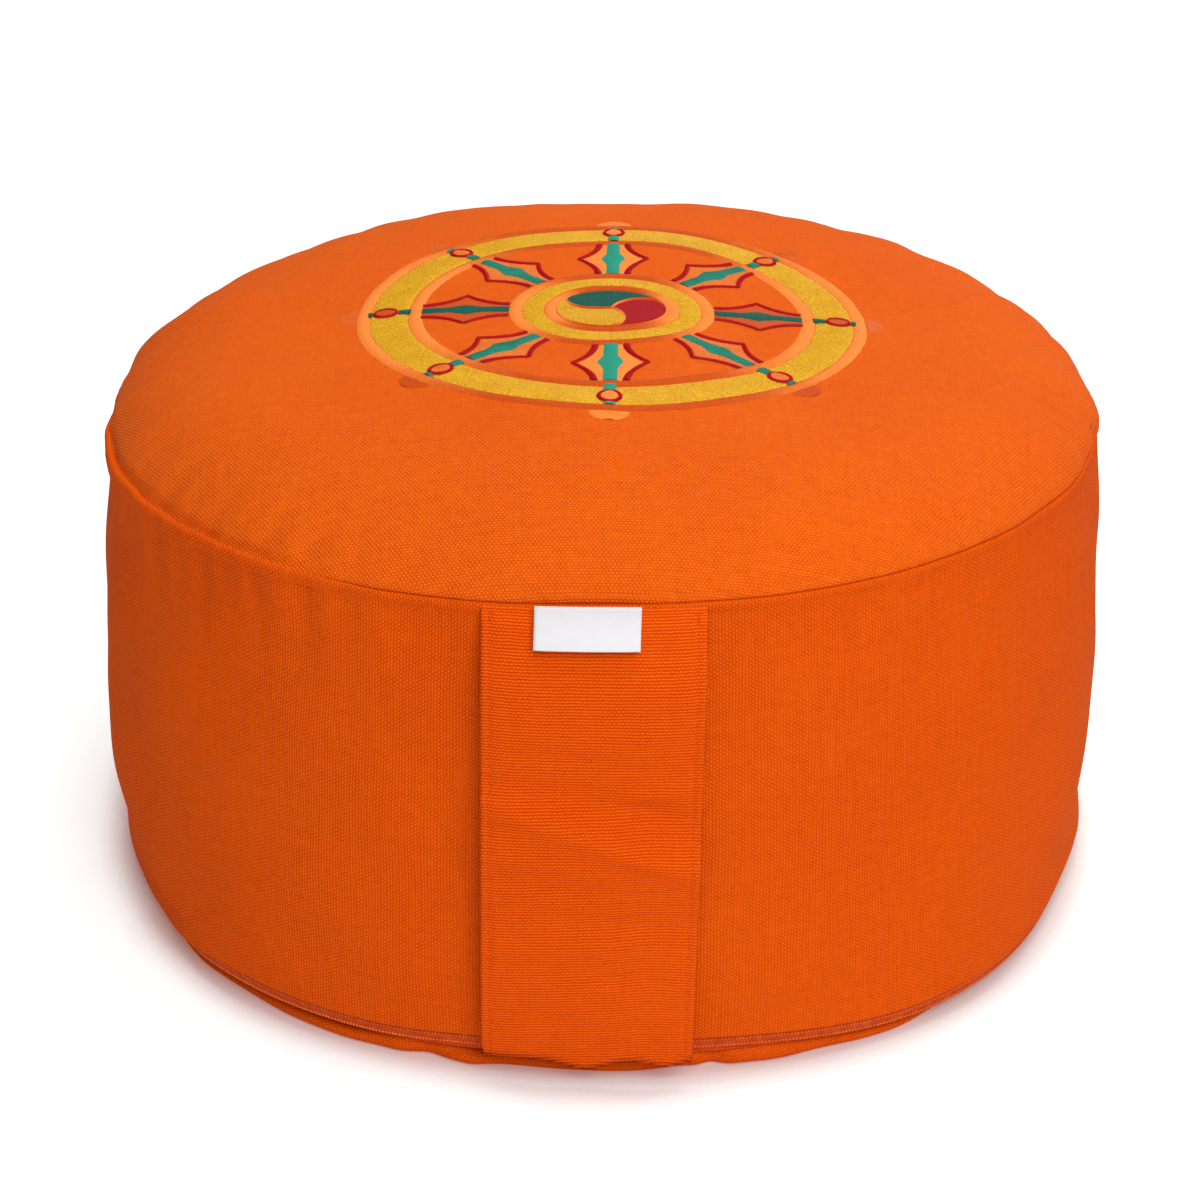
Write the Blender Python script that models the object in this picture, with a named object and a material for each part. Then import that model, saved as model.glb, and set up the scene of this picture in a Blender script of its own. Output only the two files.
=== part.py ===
"""A zafu: a round, filled floor cushion of canvas, with a carrying handle, a label and a zip.

The front faces -Y and the cushion rests on z = 0. Angles are in degrees from the front, growing
towards +X. All sizes are in metres.
"""
import math
import random

import bmesh
import bpy

# The filled drum
SEAM_RADIUS = 0.165         # top panel, from its middle to its seam
SEAM_HEIGHT = 0.155         # top seam above the floor
CROWN = 0.028               # middle of the top above its seam
CROWN_FLATNESS = 4.9        # higher is flatter in the middle and rounder at the edge
CROWN_SHOULDER = 0.7
BAND_RADIUS = 0.1735        # side band at its lower edge
BAND_EDGE = 0.0108          # height of that lower edge
BAND_BULGE = 0.0025         # how far the middle of the band swells past a straight line
FOOT_RADIUS = 0.1715        # base panel at its edge
FOOT_DENT_SHARE = 0.4       # how much of a dent in the band reaches the base panel
COLUMNS = 120
TOP_SHARES = (0.12, 0.28, 0.44, 0.58, 0.70, 0.79, 0.86, 0.915, 0.955, 0.982)
BAND_SHARES = (0.0, 0.06, 0.14, 0.24, 0.35, 0.46, 0.57, 0.68, 0.78, 0.87, 0.94, 0.98)

# The top seam: it is drawn in, and it isn't level all round
SEAM_SUNK = 0.0016
SEAM_LIP = 0.0022           # height of the rolled cloth on either side of it
SEAM_OVERHANG = 0.0004      # how far the top panel stands out over the band
SEAM_TO_SIDE = 0.0012       # higher towards +X
SEAM_TO_BACK = 0.0022       # higher towards the back
SEAM_SADDLE = 0.0022        # higher at front and back than at the two sides

# The bottom seam: a slot for the zip in front, a closed seam at the back
SLOT_LOW = 0.0056
SLOT_HIGH = 0.0106
SLOT_CLOSED_DEPTH = 0.0015
SLOT_LIP = 0.0012           # rounding of the folded cloth above and below the slot
FOOT_ROLL = 0.0040          # rounding of the base panel's edge down to the floor
SLOT_CLOSED_HALF = 0.0006   # half the height of the closed seam's groove
ZIP_HALF_ANGLE = 72.0
SLOT_HALF_ANGLE = 73.0
SLOT_END_ANGLE = 80.0

# Puckers where the cloth is drawn into the top seam
PUCKER_PITCH = 11.5
PUCKER_DEPTH = 0.0020
PUCKER_REACH = 0.030
PUCKER_SEED = 11

# The handle
HANDLE_WIDTH = 0.0635
HANDLE_SHIFT = -0.0015      # its middle line, towards -X
HANDLE_LEAN = -0.0020       # further towards -X at its lower end
HANDLE_THICK = 0.0020
HANDLE_TOP_INSET = 0.0010   # below the top seam
HANDLE_BOTTOM = 0.0063      # lower end above the floor, over the zip
HANDLE_SLACK = 0.0085       # how far it stands off the band at its loosest
HANDLE_FLAT_SHARE = 0.75    # 1 is a board, 0 follows the band's curve
HANDLE_RIPPLE = 0.0006
HANDLE_RIPPLES = 5.0
HANDLE_GRID = (8, 28)       # faces across and along
HANDLE_BED = 0.0022         # how much it flattens the band behind it
HANDLE_BED_ANGLE = 13.0

# The label and the zip
LABEL_WIDTH = 0.0298
LABEL_LENGTH = 0.0120
LABEL_THICK = 0.0012
LABEL_SHIFT = -0.0033
LABEL_LIFT = 0.0012         # its lower edge stands off the handle
LABEL_GAP = 0.0005
LABEL_GRID = (6, 4)
TAPE_THICK = 0.0010
TAPE_INSET = 0.0033         # outer face of the tape behind the band's edge
TEETH_THICK = 0.0018
TEETH_TALL = 0.0036
TEETH_ROUND = 0.45          # share of the thickness that its edges are rounded by
ZIP_STEP_ANGLE = 3.0
CLEARANCE = 0.0003          # between pieces that touch
SLOT_DEPTH = TAPE_INSET + TAPE_THICK + CLEARANCE

# Uneven filling: where the drum is fuller, or slacker, than a true circle
LOBES = (
    # angle, half angle, at the top seam, at the foot
    (38.0, 22.0, 0.0, 0.0042),
    (-38.0, 22.0, 0.0, 0.0022),
    (122.0, 28.0, 0.0018, 0.0),
    (180.0, 16.0, -0.0018, 0.0),
    (-98.0, 18.0, -0.0014, 0.0),
    (-120.0, 13.0, 0.0018, 0.0),
)

# Slack places in the filling: angle and height of the middle, half-widths, depth inwards
DENTS = (
    # angle, height, half angle, half height, depth
    (-88.0, 0.038, 15.0, 0.018, 0.0056),
    (-73.0, 0.016, 14.0, 0.017, 0.0064),
    (-97.0, 0.095, 20.0, 0.030, 0.0014),
    (-34.0, 0.120, 15.0, 0.022, 0.0012),
    (30.0, 0.060, 14.0, 0.035, 0.0014),
    (62.0, 0.110, 14.0, 0.030, 0.0012),
    (82.0, 0.030, 15.0, 0.022, 0.0032),
    (94.0, 0.100, 16.0, 0.034, 0.0018),
    (128.0, 0.070, 18.0, 0.032, 0.0018),
    (172.0, 0.050, 20.0, 0.026, 0.0015),
    (-142.0, 0.085, 18.0, 0.030, 0.0018),
)

COLOURS = {
    # linear base colour, roughness
    "cushion": ((0.76, 0.120, 0.008), 0.85),
    "handle": ((0.74, 0.105, 0.007), 0.85),
    "label": ((0.86, 0.84, 0.85), 0.45),
    "zip_tape": ((0.52, 0.065, 0.010), 0.80),
    "zip_teeth": ((0.66, 0.130, 0.045), 0.50),
}


def blend(low, high, value):
    """0 below low, 1 above high, smooth between."""
    share = min(max((value - low) / (high - low), 0.0), 1.0)
    return share * share * (3.0 - 2.0 * share)


def bell(offset, half_width):
    """1 in the middle of a soft dent, close to 0 past twice its half-width."""
    return math.exp(-(offset / half_width) ** 2)


def turn(angle, middle):
    """Signed difference of two angles in degrees, from -180 to 180."""
    return (angle - middle + 180.0) % 360.0 - 180.0


def make_puckers():
    """Uneven folds all round: each is (angle, half-width, depth), deepest at the back and left."""
    chance = random.Random(PUCKER_SEED)
    folds = []
    for index in range(int(360.0 / PUCKER_PITCH)):
        angle = index * PUCKER_PITCH + chance.uniform(-0.3, 0.3) * PUCKER_PITCH
        away = abs(turn(angle, 0.0)) / 180.0
        strength = 0.12 + 0.88 * blend(0.15, 0.6, away)
        depth = PUCKER_DEPTH * strength * chance.uniform(0.5, 1.0)
        folds.append((angle, PUCKER_PITCH * chance.uniform(0.26, 0.36), depth))
    return folds


PUCKERS = make_puckers()


def pucker(angle):
    """Depth of the folds at the top seam."""
    return sum(depth * bell(turn(angle, middle), half) for middle, half, depth in PUCKERS)


def lobe_top(angle):
    """How far the uneven filling moves the top seam and the edge of the top panel."""
    return sum(top * bell(turn(angle, middle), half) for middle, half, top, foot in LOBES)


def lobe_foot(angle):
    """How far the uneven filling moves the lower edge of the band and the base panel."""
    return sum(foot * bell(turn(angle, middle), half) for middle, half, top, foot in LOBES)


def seam_height(angle):
    """Height of the top seam, which rises and falls a little round the cushion."""
    turned = math.radians(angle)
    lean = SEAM_TO_SIDE * math.sin(turned) - SEAM_TO_BACK * math.cos(turned)
    return SEAM_HEIGHT + lean + SEAM_SADDLE * math.cos(2.0 * turned) + lobe_top(angle)


def bed(angle):
    """How much the wall is flattened behind the handle."""
    return HANDLE_BED * bell(turn(angle, 0.0), HANDLE_BED_ANGLE)


def dents(angle, height):
    """Inward depth of the slack places at a point of the side band."""
    return sum(depth * bell(turn(angle, middle), half_angle) * bell(height - level, half_height)
               for middle, level, half_angle, half_height, depth in DENTS)


def band_radius(angle, share):
    """Radius of the side band, where share runs from 0 at the top seam to 1 at its lower edge."""
    straight = SEAM_RADIUS + (BAND_RADIUS - SEAM_RADIUS) * share
    lobe = lobe_top(angle) * (1.0 - share) + lobe_foot(angle) * share ** 2
    radius = straight + lobe + BAND_BULGE * 4.0 * share * (1.0 - share)
    height = seam_height(angle) + (BAND_EDGE - seam_height(angle)) * share
    below_seam = seam_height(angle) - height
    folds = pucker(angle) * bell(below_seam, PUCKER_REACH * 0.6)
    return radius - bed(angle) - dents(angle, height) - folds


def crown_height(share):
    """Height of the top panel over its seam at a share of its radius."""
    return CROWN * max(1.0 - share ** CROWN_FLATNESS, 0.0) ** CROWN_SHOULDER


def slot_opening(angle):
    """1 where the bottom seam is open for the zip, 0 where it is closed."""
    return 1.0 - blend(SLOT_HALF_ANGLE, SLOT_END_ANGLE, abs(turn(angle, 0.0)))


def top_rows(angle):
    """The top panel from near its middle to its seam."""
    rows = []
    level = seam_height(angle)
    for share in TOP_SHARES:
        radius = SEAM_RADIUS * share + lobe_top(angle) * share ** 2 - bed(angle) * share ** 6
        lift = (level - SEAM_HEIGHT) * share ** 2 + SEAM_HEIGHT + crown_height(share)
        from_seam = SEAM_RADIUS * (1.0 - share)
        folds = pucker(angle) * bell(from_seam, PUCKER_REACH)
        rows.append((radius, lift - folds))
    return rows


def seam_rows(angle):
    """The drawn-in top seam: the panel's lip, the groove and the band's lip."""
    level = seam_height(angle)
    radius = band_radius(angle, 0.0)
    fold = SEAM_LIP * 0.3
    return [
        (radius + SEAM_OVERHANG, level + SEAM_LIP),
        (radius + SEAM_OVERHANG * 0.5, level + fold),
        (radius - SEAM_SUNK, level),
        (radius - SEAM_OVERHANG * 0.5, level - fold),
    ]


def band_rows(angle):
    """The side band from just under the top seam to its lower edge."""
    rows = []
    top = seam_height(angle) - SEAM_LIP
    for share in BAND_SHARES:
        rows.append((band_radius(angle, share), top + (BAND_EDGE + SLOT_LIP - top) * share))
    return rows


def base_rows(angle):
    """The band's lower edge, the slot or closed seam below it, and the base panel's edge."""
    opening = slot_opening(angle)
    edge = band_radius(angle, 1.0)
    closed = (SLOT_LOW + SLOT_HIGH) / 2.0
    high = opening * SLOT_HIGH + (1.0 - opening) * (closed + SLOT_CLOSED_HALF)
    low = opening * SLOT_LOW + (1.0 - opening) * (closed - SLOT_CLOSED_HALF)
    inside = edge - SLOT_CLOSED_DEPTH - opening * (SLOT_DEPTH - SLOT_CLOSED_DEPTH)
    foot = min(FOOT_RADIUS + lobe_foot(angle) - FOOT_DENT_SHARE * dents(angle, 0.0), edge)
    return [
        (edge - SLOT_LIP / 3.0, high + SLOT_LIP / 4.0),
        (inside, high),
        (inside, low),
        (foot - SLOT_LIP, low),
        (foot, low - SLOT_LIP),
        (foot - FOOT_ROLL * 0.3, FOOT_ROLL * 0.3),
        (foot - FOOT_ROLL, 0.0),
    ]


def section(angle):
    """Every row of the filled form at one angle, as (radius, height), from the top to the floor."""
    return top_rows(angle) + seam_rows(angle) + band_rows(angle) + base_rows(angle)


def place(angle, radius, height):
    """A point at an angle from the front."""
    turned = math.radians(angle)
    return (radius * math.sin(turned), -radius * math.cos(turned), height)


def angle_of(point):
    """The angle from the front of a point, in degrees."""
    return math.degrees(math.atan2(point.x, -point.y))


def finish(bm, name):
    """Turn a bmesh into a named object with its own material."""
    bmesh.ops.recalc_face_normals(bm, faces=bm.faces)
    mesh = bpy.data.meshes.new(name)
    bm.to_mesh(mesh)
    bm.free()
    mesh.shade_smooth()
    piece = bpy.data.objects.new(name, mesh)
    bpy.context.scene.collection.objects.link(piece)
    colour, roughness = COLOURS[name]
    material = bpy.data.materials.new(name)
    material.use_nodes = True
    shader = material.node_tree.nodes["Principled BSDF"]
    shader.inputs["Base Color"].default_value = (*colour, 1.0)
    shader.inputs["Roughness"].default_value = roughness
    shader.inputs["Metallic"].default_value = 0.0
    mesh.materials.append(material)
    return piece


def make_cushion():
    """The filled drum: one section is spun round, then each point takes the section of its own angle."""
    bm = bmesh.new()
    row_of = bm.verts.layers.int.new("row")
    line = []
    for row, (radius, height) in enumerate(section(0.0)):
        point = bm.verts.new(place(0.0, radius, height))
        point[row_of] = row
        line.append(point)
    edges = [bm.edges.new(pair) for pair in zip(line, line[1:])]
    bmesh.ops.spin(bm, geom=line + edges, cent=(0.0, 0.0, 0.0), axis=(0.0, 0.0, 1.0),
                   angle=math.tau, steps=COLUMNS, use_merge=True)
    sections = [section(360.0 * column / COLUMNS) for column in range(COLUMNS)]
    for point in bm.verts:
        column = round(angle_of(point.co) * COLUMNS / 360.0) % COLUMNS
        radius, height = sections[column][point[row_of]]
        point.co = place(360.0 * column / COLUMNS, radius, height)
    ends = bmesh.ops.holes_fill(bm, edges=[edge for edge in bm.edges if edge.is_boundary])["faces"]
    upper = max(ends, key=lambda face: face.calc_center_median().z)
    middle = bmesh.ops.poke(bm, faces=[upper])["verts"][0]
    middle.co = (0.0, 0.0, SEAM_HEIGHT + CROWN)
    return finish(bm, "cushion")


def make_strip(name, grid, thickness, back_at):
    """A strip of cloth: a flat grid laid on its back's surface, then thickened outwards."""
    bm = bmesh.new()
    bmesh.ops.create_grid(bm, x_segments=grid[0], y_segments=grid[1], size=0.5)
    for point in bm.verts:
        across, down = point.co.x, 0.5 - point.co.y
        point.co = back_at(across, down)
    piece = finish(bm, name)
    if piece.data.polygons[0].normal.y > 0.0:
        piece.data.flip_normals()
    solid = piece.modifiers.new("thickness", "SOLIDIFY")
    solid.thickness = thickness
    solid.offset = 1.0
    return piece


def handle_line(share):
    """Height of the handle at a share of its length, and its back's distance off the band there."""
    top = seam_height(0.0) - HANDLE_TOP_INSET
    height = top + (HANDLE_BOTTOM - top) * share
    slack = HANDLE_SLACK * math.sin(math.pi * share) ** 1.5
    ripple = HANDLE_RIPPLE * math.sin(math.pi * share) * math.sin(HANDLE_RIPPLES * math.pi * share)
    return height, slack + ripple


def handle_middle(share):
    """Where the handle's middle line lies across the front, at a share of its length."""
    return HANDLE_SHIFT + HANDLE_LEAN * share


def wall_front(x, height):
    """The band's surface at a place across the front, as a distance towards the viewer."""
    angle = math.degrees(math.asin(x / SEAM_RADIUS))
    top = seam_height(angle)
    share = min(max((top - height) / (top - BAND_EDGE), 0.0), 1.0)
    return math.sqrt(band_radius(angle, share) ** 2 - x * x)


def handle_back(x, share):
    """Distance of the handle's back from the middle plane of the cushion, towards the viewer."""
    height, slack = handle_line(share)
    bare = wall_front(x, height)
    spread = (-0.25, 0.0, 0.25)
    board = max(wall_front(handle_middle(share) + HANDLE_WIDTH * part, height) for part in spread)
    flat = HANDLE_FLAT_SHARE * math.sin(math.pi * share) ** 0.5
    return bare + max(board - bare, 0.0) * flat + slack + CLEARANCE


def make_handle():
    """A doubled strip of canvas, sewn in at both ends and standing off the band between them."""
    def back_at(across, down):
        x = handle_middle(down) + HANDLE_WIDTH * across
        return (x, -handle_back(x, down), handle_line(down)[0])
    return make_strip("handle", HANDLE_GRID, HANDLE_THICK, back_at)


def make_label():
    """A folded satin tab over the top of the handle, its lower edge standing off a little."""
    def back_at(across, down):
        x = LABEL_SHIFT + LABEL_WIDTH * across
        height = seam_height(0.0) - LABEL_LENGTH * down
        share = max((handle_line(0.0)[0] - height) / (handle_line(0.0)[0] - HANDLE_BOTTOM), 0.0)
        stand_off = HANDLE_THICK + LABEL_GAP + LABEL_LIFT * down ** 2
        return (x, -handle_back(x, share) - stand_off, height)
    return make_strip("label", LABEL_GRID, LABEL_THICK, back_at)


def make_arc(name, profile):
    """A strip in the zip's slot: its section of (inset, height) corners is spun, then laid in place."""
    bm = bmesh.new()
    corners = [bm.verts.new(place(-ZIP_HALF_ANGLE, BAND_RADIUS - inset, height))
               for inset, height in profile]
    end = bm.faces.new(corners)
    whole_angle = 2.0 * ZIP_HALF_ANGLE
    bmesh.ops.spin(bm, geom=corners + list(end.edges) + [end], cent=(0.0, 0.0, 0.0), axis=(0.0, 0.0, 1.0),
                   angle=math.radians(whole_angle), steps=round(whole_angle / ZIP_STEP_ANGLE))
    for point in bm.verts:
        inset = BAND_RADIUS - point.co.xy.length
        angle = angle_of(point.co)
        point.co = place(angle, band_radius(angle, 1.0) - inset, point.co.z)
    return finish(bm, name)


def make_zip():
    """The woven tape at the back of the slot, and the closed chain of teeth on it."""
    low = SLOT_LOW + CLEARANCE
    high = SLOT_HIGH - CLEARANCE
    back = TAPE_INSET + TAPE_THICK
    middle = (low + high) / 2.0
    face = TAPE_INSET - CLEARANCE
    front = face - TEETH_THICK
    half = TEETH_TALL / 2.0
    chamfer = TEETH_THICK * TEETH_ROUND
    tape = [(back, low), (TAPE_INSET, low), (TAPE_INSET, high), (back, high)]
    teeth = [
        (face, middle - half),
        (front + chamfer, middle - half),
        (front, middle - half + chamfer),
        (front, middle + half - chamfer),
        (front + chamfer, middle + half),
        (face, middle + half),
    ]
    make_arc("zip_tape", tape)
    make_arc("zip_teeth", teeth)


for leftover in list(bpy.data.objects):
    bpy.data.objects.remove(leftover, do_unlink=True)

make_cushion()
make_handle()
make_label()
make_zip()
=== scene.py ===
"""A round meditation cushion of orange canvas, with a handle, a label, a zip and an embroidered wheel.

The front faces -Y and the cushion stands on z = 0. Angles are in degrees from the front, growing
towards +X. All sizes are in metres.
"""
import math
import random

import bmesh
import bpy
import numpy as np
from mathutils import Matrix, Vector


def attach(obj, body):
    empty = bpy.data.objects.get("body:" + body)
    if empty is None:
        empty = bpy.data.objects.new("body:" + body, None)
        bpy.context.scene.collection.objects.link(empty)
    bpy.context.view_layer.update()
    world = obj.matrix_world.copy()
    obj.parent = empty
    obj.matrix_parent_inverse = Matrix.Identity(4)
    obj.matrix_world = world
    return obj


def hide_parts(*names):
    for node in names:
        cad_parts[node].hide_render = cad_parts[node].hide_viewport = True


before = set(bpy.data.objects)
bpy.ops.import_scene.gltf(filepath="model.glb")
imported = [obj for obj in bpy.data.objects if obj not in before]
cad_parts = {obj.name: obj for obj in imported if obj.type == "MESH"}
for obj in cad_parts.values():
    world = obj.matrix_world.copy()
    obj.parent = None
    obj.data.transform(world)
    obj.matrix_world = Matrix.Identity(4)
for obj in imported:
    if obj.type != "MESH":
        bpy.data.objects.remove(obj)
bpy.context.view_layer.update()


# ------------------------------------------------------------------ Top panel
# A disc of plain-woven cotton canvas, sewn to the side band all round. The husk filling pushes it up
# into a low crown, and its spare cloth is drawn into small puckers and gathers at the seam.

SEAM_RADIUS = 0.165
SEAM_HEIGHT = 0.155
SEAM_TO_SIDE = 0.0012       # the seam is higher towards +X
SEAM_TO_BACK = 0.0022       # and towards the back
SEAM_SADDLE = 0.0022        # and at front and back more than at the two sides
CROWN = 0.028
CROWN_FLATNESS = 4.9        # higher is flatter in the middle and rounder at the edge
CROWN_SHOULDER = 0.7
CROWN_SADDLE = 0.0014       # the filling lies higher to the front and back of the middle
CROWN_MIDDLE = 0.0020       # and a little higher still in the middle
CROWN_MIDDLE_HALF = 0.38    # share of the radius
SADDLE_SCALE = 9.5          # makes the saddle's highest place CROWN_SADDLE high
CROWN_FRONT_SHOULDER = 0.22  # at the front it comes down to the seam less steeply
CROWN_FRONT = 5.0           # middle of that stretch
CROWN_FRONT_HALF = 45.0
CROWN_TO_SIDE = -0.0157     # its slope towards +X
CROWN_TO_BACK = 0.0099      # and towards the back
PUCKER_PITCH = 11.5
PUCKER_DEPTH = 0.0020
PUCKER_REACH = 0.030
PUCKER_SEED = 11
PUCKER_FRONT = 0.12         # share of their depth at the front
PUCKER_GROWS = (27.0, 108.0)  # they grow between these angles
PUCKER_SMOOTHED = 0.85      # share that is missing at one place at the left
SMOOTH_ANGLE = -107.0
SMOOTH_HALF = 10.0
GATHER_PITCH = 5.2
GATHER_DEPTH = 0.0005
GATHER_DEPTH_BACK = 0.0006
GATHER_REACH = 0.015
GATHER_SEED = 4
GATHERS_LEFT_MIDDLE = -38.0
GATHERS_LEFT_HALF = 28.0
UNEVEN = 0.0005             # the filling under the cloth isn't smooth
UNEVEN_LENGTH = 0.050
UNEVEN_SEED = 5
HANDLE_BED = 0.0022         # the wall is flatter behind the handle
HANDLE_BED_ANGLE = 13.0
LEFT_SPAN = (-90.0, -68.0, -40.0, -18.0)  # where the band's edge stands proud of the seam
BEHIND = (95.0, 130.0)      # the back begins between these angles
COLUMNS = 640               # points round the cushion
TOP_ROWS = 46
TOP_START = 0.02            # the panel's rings, from a share of its radius near the middle
TOP_END = 0.985             # to one just inside the seam
WARP_PITCH = 0.00062        # between threads of the canvas
WEFT_PITCH = 0.00094
WEAVE_RELIEF = 0.00022
THREAD_WANDER = 0.00055     # how far the threads stray, in slow waves
THREAD_JOSTLE = 0.00040     # and in short ones
ORANGE = (0.72, 0.099, 0.0036)
# ORANGE_PIT: painted shade in the low places of the weave
ORANGE_PIT = (0.51, 0.036, 0.0008)
TOP_ORANGE_PAINTED_LIGHT = (0.77, 0.122, 0.0024)  # painted light: the top's canvas is painted brighter and yellower, for the light and haze it catches
TOP_PIT_PAINTED_LIGHT = (0.54, 0.047, 0.0008)
ORANGE_SHEEN = (1.0, 0.50, 0.22)

HOLLOW_SHARE = 0.88         # the hollows' place on the way to the seam
HOLLOW_HALF = 0.20

# Each row of these is an angle, a half angle and a depth.
HOLLOWS = (
    # low places near the edge of the crown
    (-126.0, 11.0, 0.0022), (-160.0, 12.0, 0.0011), (-179.0, 8.0, 0.0019), (114.0, 8.0, 0.0010),
)
TOP_LOBES = (
    # where the filling pushes the top seam outwards
    (122.0, 28.0, 0.0010), (180.0, 16.0, -0.0018), (-98.0, 18.0, -0.0014), (-101.0, 5.0, 0.0018),
    (-77.0, 6.0, -0.0012), (94.0, 4.0, -0.0008), (-120.0, 13.0, 0.0004),
)
FOOT_LOBES = (
    # and where it pushes the lower edge of the side band outwards
    (38.0, 22.0, 0.0042), (-38.0, 22.0, 0.0022),
)
GATHERS_LEFT = (
    # small folds close to the seam, at the left of the front
    (-61.0, 1.5, 0.0008), (-54.0, 1.7, 0.0014), (-49.5, 1.3, 0.0007), (-45.4, 1.5, 0.0013),
    (-41.0, 1.3, 0.0006), (-37.0, 1.5, 0.0009), (-31.0, 1.9, 0.0015), (-26.0, 1.5, 0.0007),
    (-19.0, 2.0, 0.0009), (-15.3, 1.4, 0.0007),
)


def blend(low, high, value):
    """0 below low, 1 above high, smooth between."""
    share = np.clip((value - low) / (high - low), 0.0, 1.0)
    return share * share * (3.0 - 2.0 * share)


def bell(offset, half_width):
    """1 in the middle of a soft fold, close to 0 past twice its half-width."""
    return np.exp(-(offset / half_width) ** 2)


def dome(offset):
    """Height of a half circle over a place from -1 to 1."""
    return np.sqrt(np.clip(1.0 - offset ** 2, 0.0, 1.0))


def turn(angle, middle):
    """Signed difference of two angles in degrees, from -180 to 180."""
    return (angle - middle + 180.0) % 360.0 - 180.0


def within(angle, span):
    """0 outside a span of angles and 1 in it. A span is where it begins, is full, and both again."""
    begin, full, still_full, end = span
    way = turn(angle, 0.0)
    return blend(begin, full, way) * (1.0 - blend(still_full, end, way))


def folds_at(folds, angle):
    """Total depth at an angle of soft folds, each one an angle, a half angle and a depth."""
    return sum(depth * bell(turn(angle, middle), half) for middle, half, depth in folds)


def unevenness(x, y, length, seed):
    """Soft ups and downs between about -1 and 1, none shorter than length."""
    chance = random.Random(seed)
    total = 0.0
    for _ in range(9):
        way = chance.uniform(0.0, math.tau)
        rate = math.tau / (length * chance.uniform(1.0, 2.4))
        along_it = x * math.cos(way) + y * math.sin(way)
        total = total + np.sin(along_it * rate + chance.uniform(0.0, math.tau))
    return total / 3.0


def scattered_folds(seed, pitch, depth_at, least, half_widths):
    """Folds round the seam, each at least a share of depth_at deep and some shares of pitch wide."""
    chance = random.Random(seed)
    folds = []
    for index in range(int(360.0 / pitch)):
        angle = index * pitch + chance.uniform(-0.3, 0.3) * pitch
        depth = depth_at(angle) * chance.uniform(least, 1.0)
        if depth > 0.0:
            folds.append((angle, pitch * chance.uniform(*half_widths), depth))
    return folds


def pucker_depth(angle):
    """The broad folds are deepest at the back and left."""
    strength = PUCKER_FRONT + (1.0 - PUCKER_FRONT) * blend(*PUCKER_GROWS, abs(turn(angle, 0.0)))
    smooth = 1.0 - PUCKER_SMOOTHED * bell(turn(angle, SMOOTH_ANGLE), SMOOTH_HALF)
    return PUCKER_DEPTH * strength * smooth


def gather_depth(angle):
    """Small folds are deeper behind, and there are none beside the ones at the left of the front."""
    if abs(turn(angle, GATHERS_LEFT_MIDDLE)) <= GATHERS_LEFT_HALF:
        return 0.0
    return GATHER_DEPTH + GATHER_DEPTH_BACK * blend(*BEHIND, abs(turn(angle, 0.0)))


PUCKERS = scattered_folds(PUCKER_SEED, PUCKER_PITCH, pucker_depth, 0.5, (0.26, 0.36))
small_folds = scattered_folds(GATHER_SEED, GATHER_PITCH, gather_depth, 0.1, (0.22, 0.40))
GATHERS = list(GATHERS_LEFT) + small_folds


def seam_height(angle):
    """Height of the top seam, which rises and falls a little round the cushion."""
    turned = np.radians(angle)
    lean = SEAM_TO_SIDE * np.sin(turned) - SEAM_TO_BACK * np.cos(turned)
    return SEAM_HEIGHT + lean + SEAM_SADDLE * np.cos(2.0 * turned) + folds_at(TOP_LOBES, angle)


def bed(angle):
    """How much the wall is flattened behind the handle."""
    return HANDLE_BED * bell(turn(angle, 0.0), HANDLE_BED_ANGLE)


def left_part(angle):
    """1 along the left of the front, 0 elsewhere."""
    return within(angle, LEFT_SPAN)


def top_radius(angle, share):
    """Distance from the middle of the top panel, at a share of the way to its seam."""
    return SEAM_RADIUS * share + folds_at(TOP_LOBES, angle) * share ** 2 - bed(angle) * share ** 6


def top_height(angle, share):
    """Height of the top panel over the floor, at a share of the way from its middle to its seam."""
    turned = np.radians(angle)
    x = SEAM_RADIUS * share * np.sin(turned)
    y = -SEAM_RADIUS * share * np.cos(turned)
    lean = (seam_height(angle) - SEAM_HEIGHT) * share ** 2
    front = bell(turn(angle, CROWN_FRONT), CROWN_FRONT_HALF)
    shoulder = CROWN_SHOULDER + CROWN_FRONT_SHOULDER * front
    crown = CROWN * np.maximum(1.0 - share ** CROWN_FLATNESS, 0.0) ** shoulder
    crown = crown + CROWN_MIDDLE * bell(share, CROWN_MIDDLE_HALF)
    ring = SADDLE_SCALE * share ** 2 * (1.0 - share ** 2) ** 3
    saddle = CROWN_SADDLE * ring * np.cos(2.0 * turned)
    slope = (CROWN_TO_SIDE * x + CROWN_TO_BACK * y) * (1.0 - share ** 2)
    soft = UNEVEN * unevenness(x, y, UNEVEN_LENGTH, UNEVEN_SEED) * (1.0 - share ** 6)
    low = folds_at(HOLLOWS, angle) * bell(share - HOLLOW_SHARE, HOLLOW_HALF)
    soft = soft - low * (1.0 - share ** 8)
    from_seam = SEAM_RADIUS * (1.0 - share)
    broad = folds_at(PUCKERS, angle) * bell(from_seam, PUCKER_REACH)
    small = folds_at(GATHERS, angle) * bell(from_seam, GATHER_REACH)
    return SEAM_HEIGHT + lean + crown + saddle + slope + soft - (broad + small)


def on_plan(angle, radius):
    """Points on the plan at an angle from the front."""
    turned = np.radians(angle)
    return np.stack([radius * np.sin(turned), -radius * np.cos(turned)], axis=-1)


def place(angle, radius, height):
    """Points at an angle from the front, at some height."""
    turned = np.radians(angle)
    x = radius * np.sin(turned)
    y = -radius * np.cos(turned)
    return np.stack(np.broadcast_arrays(x, y, height), axis=-1)


def grid_faces(rows, columns, closed):
    """For each face of a grid of points, its row and column and the points at its corners."""
    shape = (rows - 1, columns if closed else columns - 1)
    row, column = (part.ravel() for part in np.indices(shape))
    beyond = (column + 1) % columns
    corners = [row * columns + column, (row + 1) * columns + column,
               (row + 1) * columns + beyond, row * columns + beyond]
    return row, column, np.stack(corners, axis=1)


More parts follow.
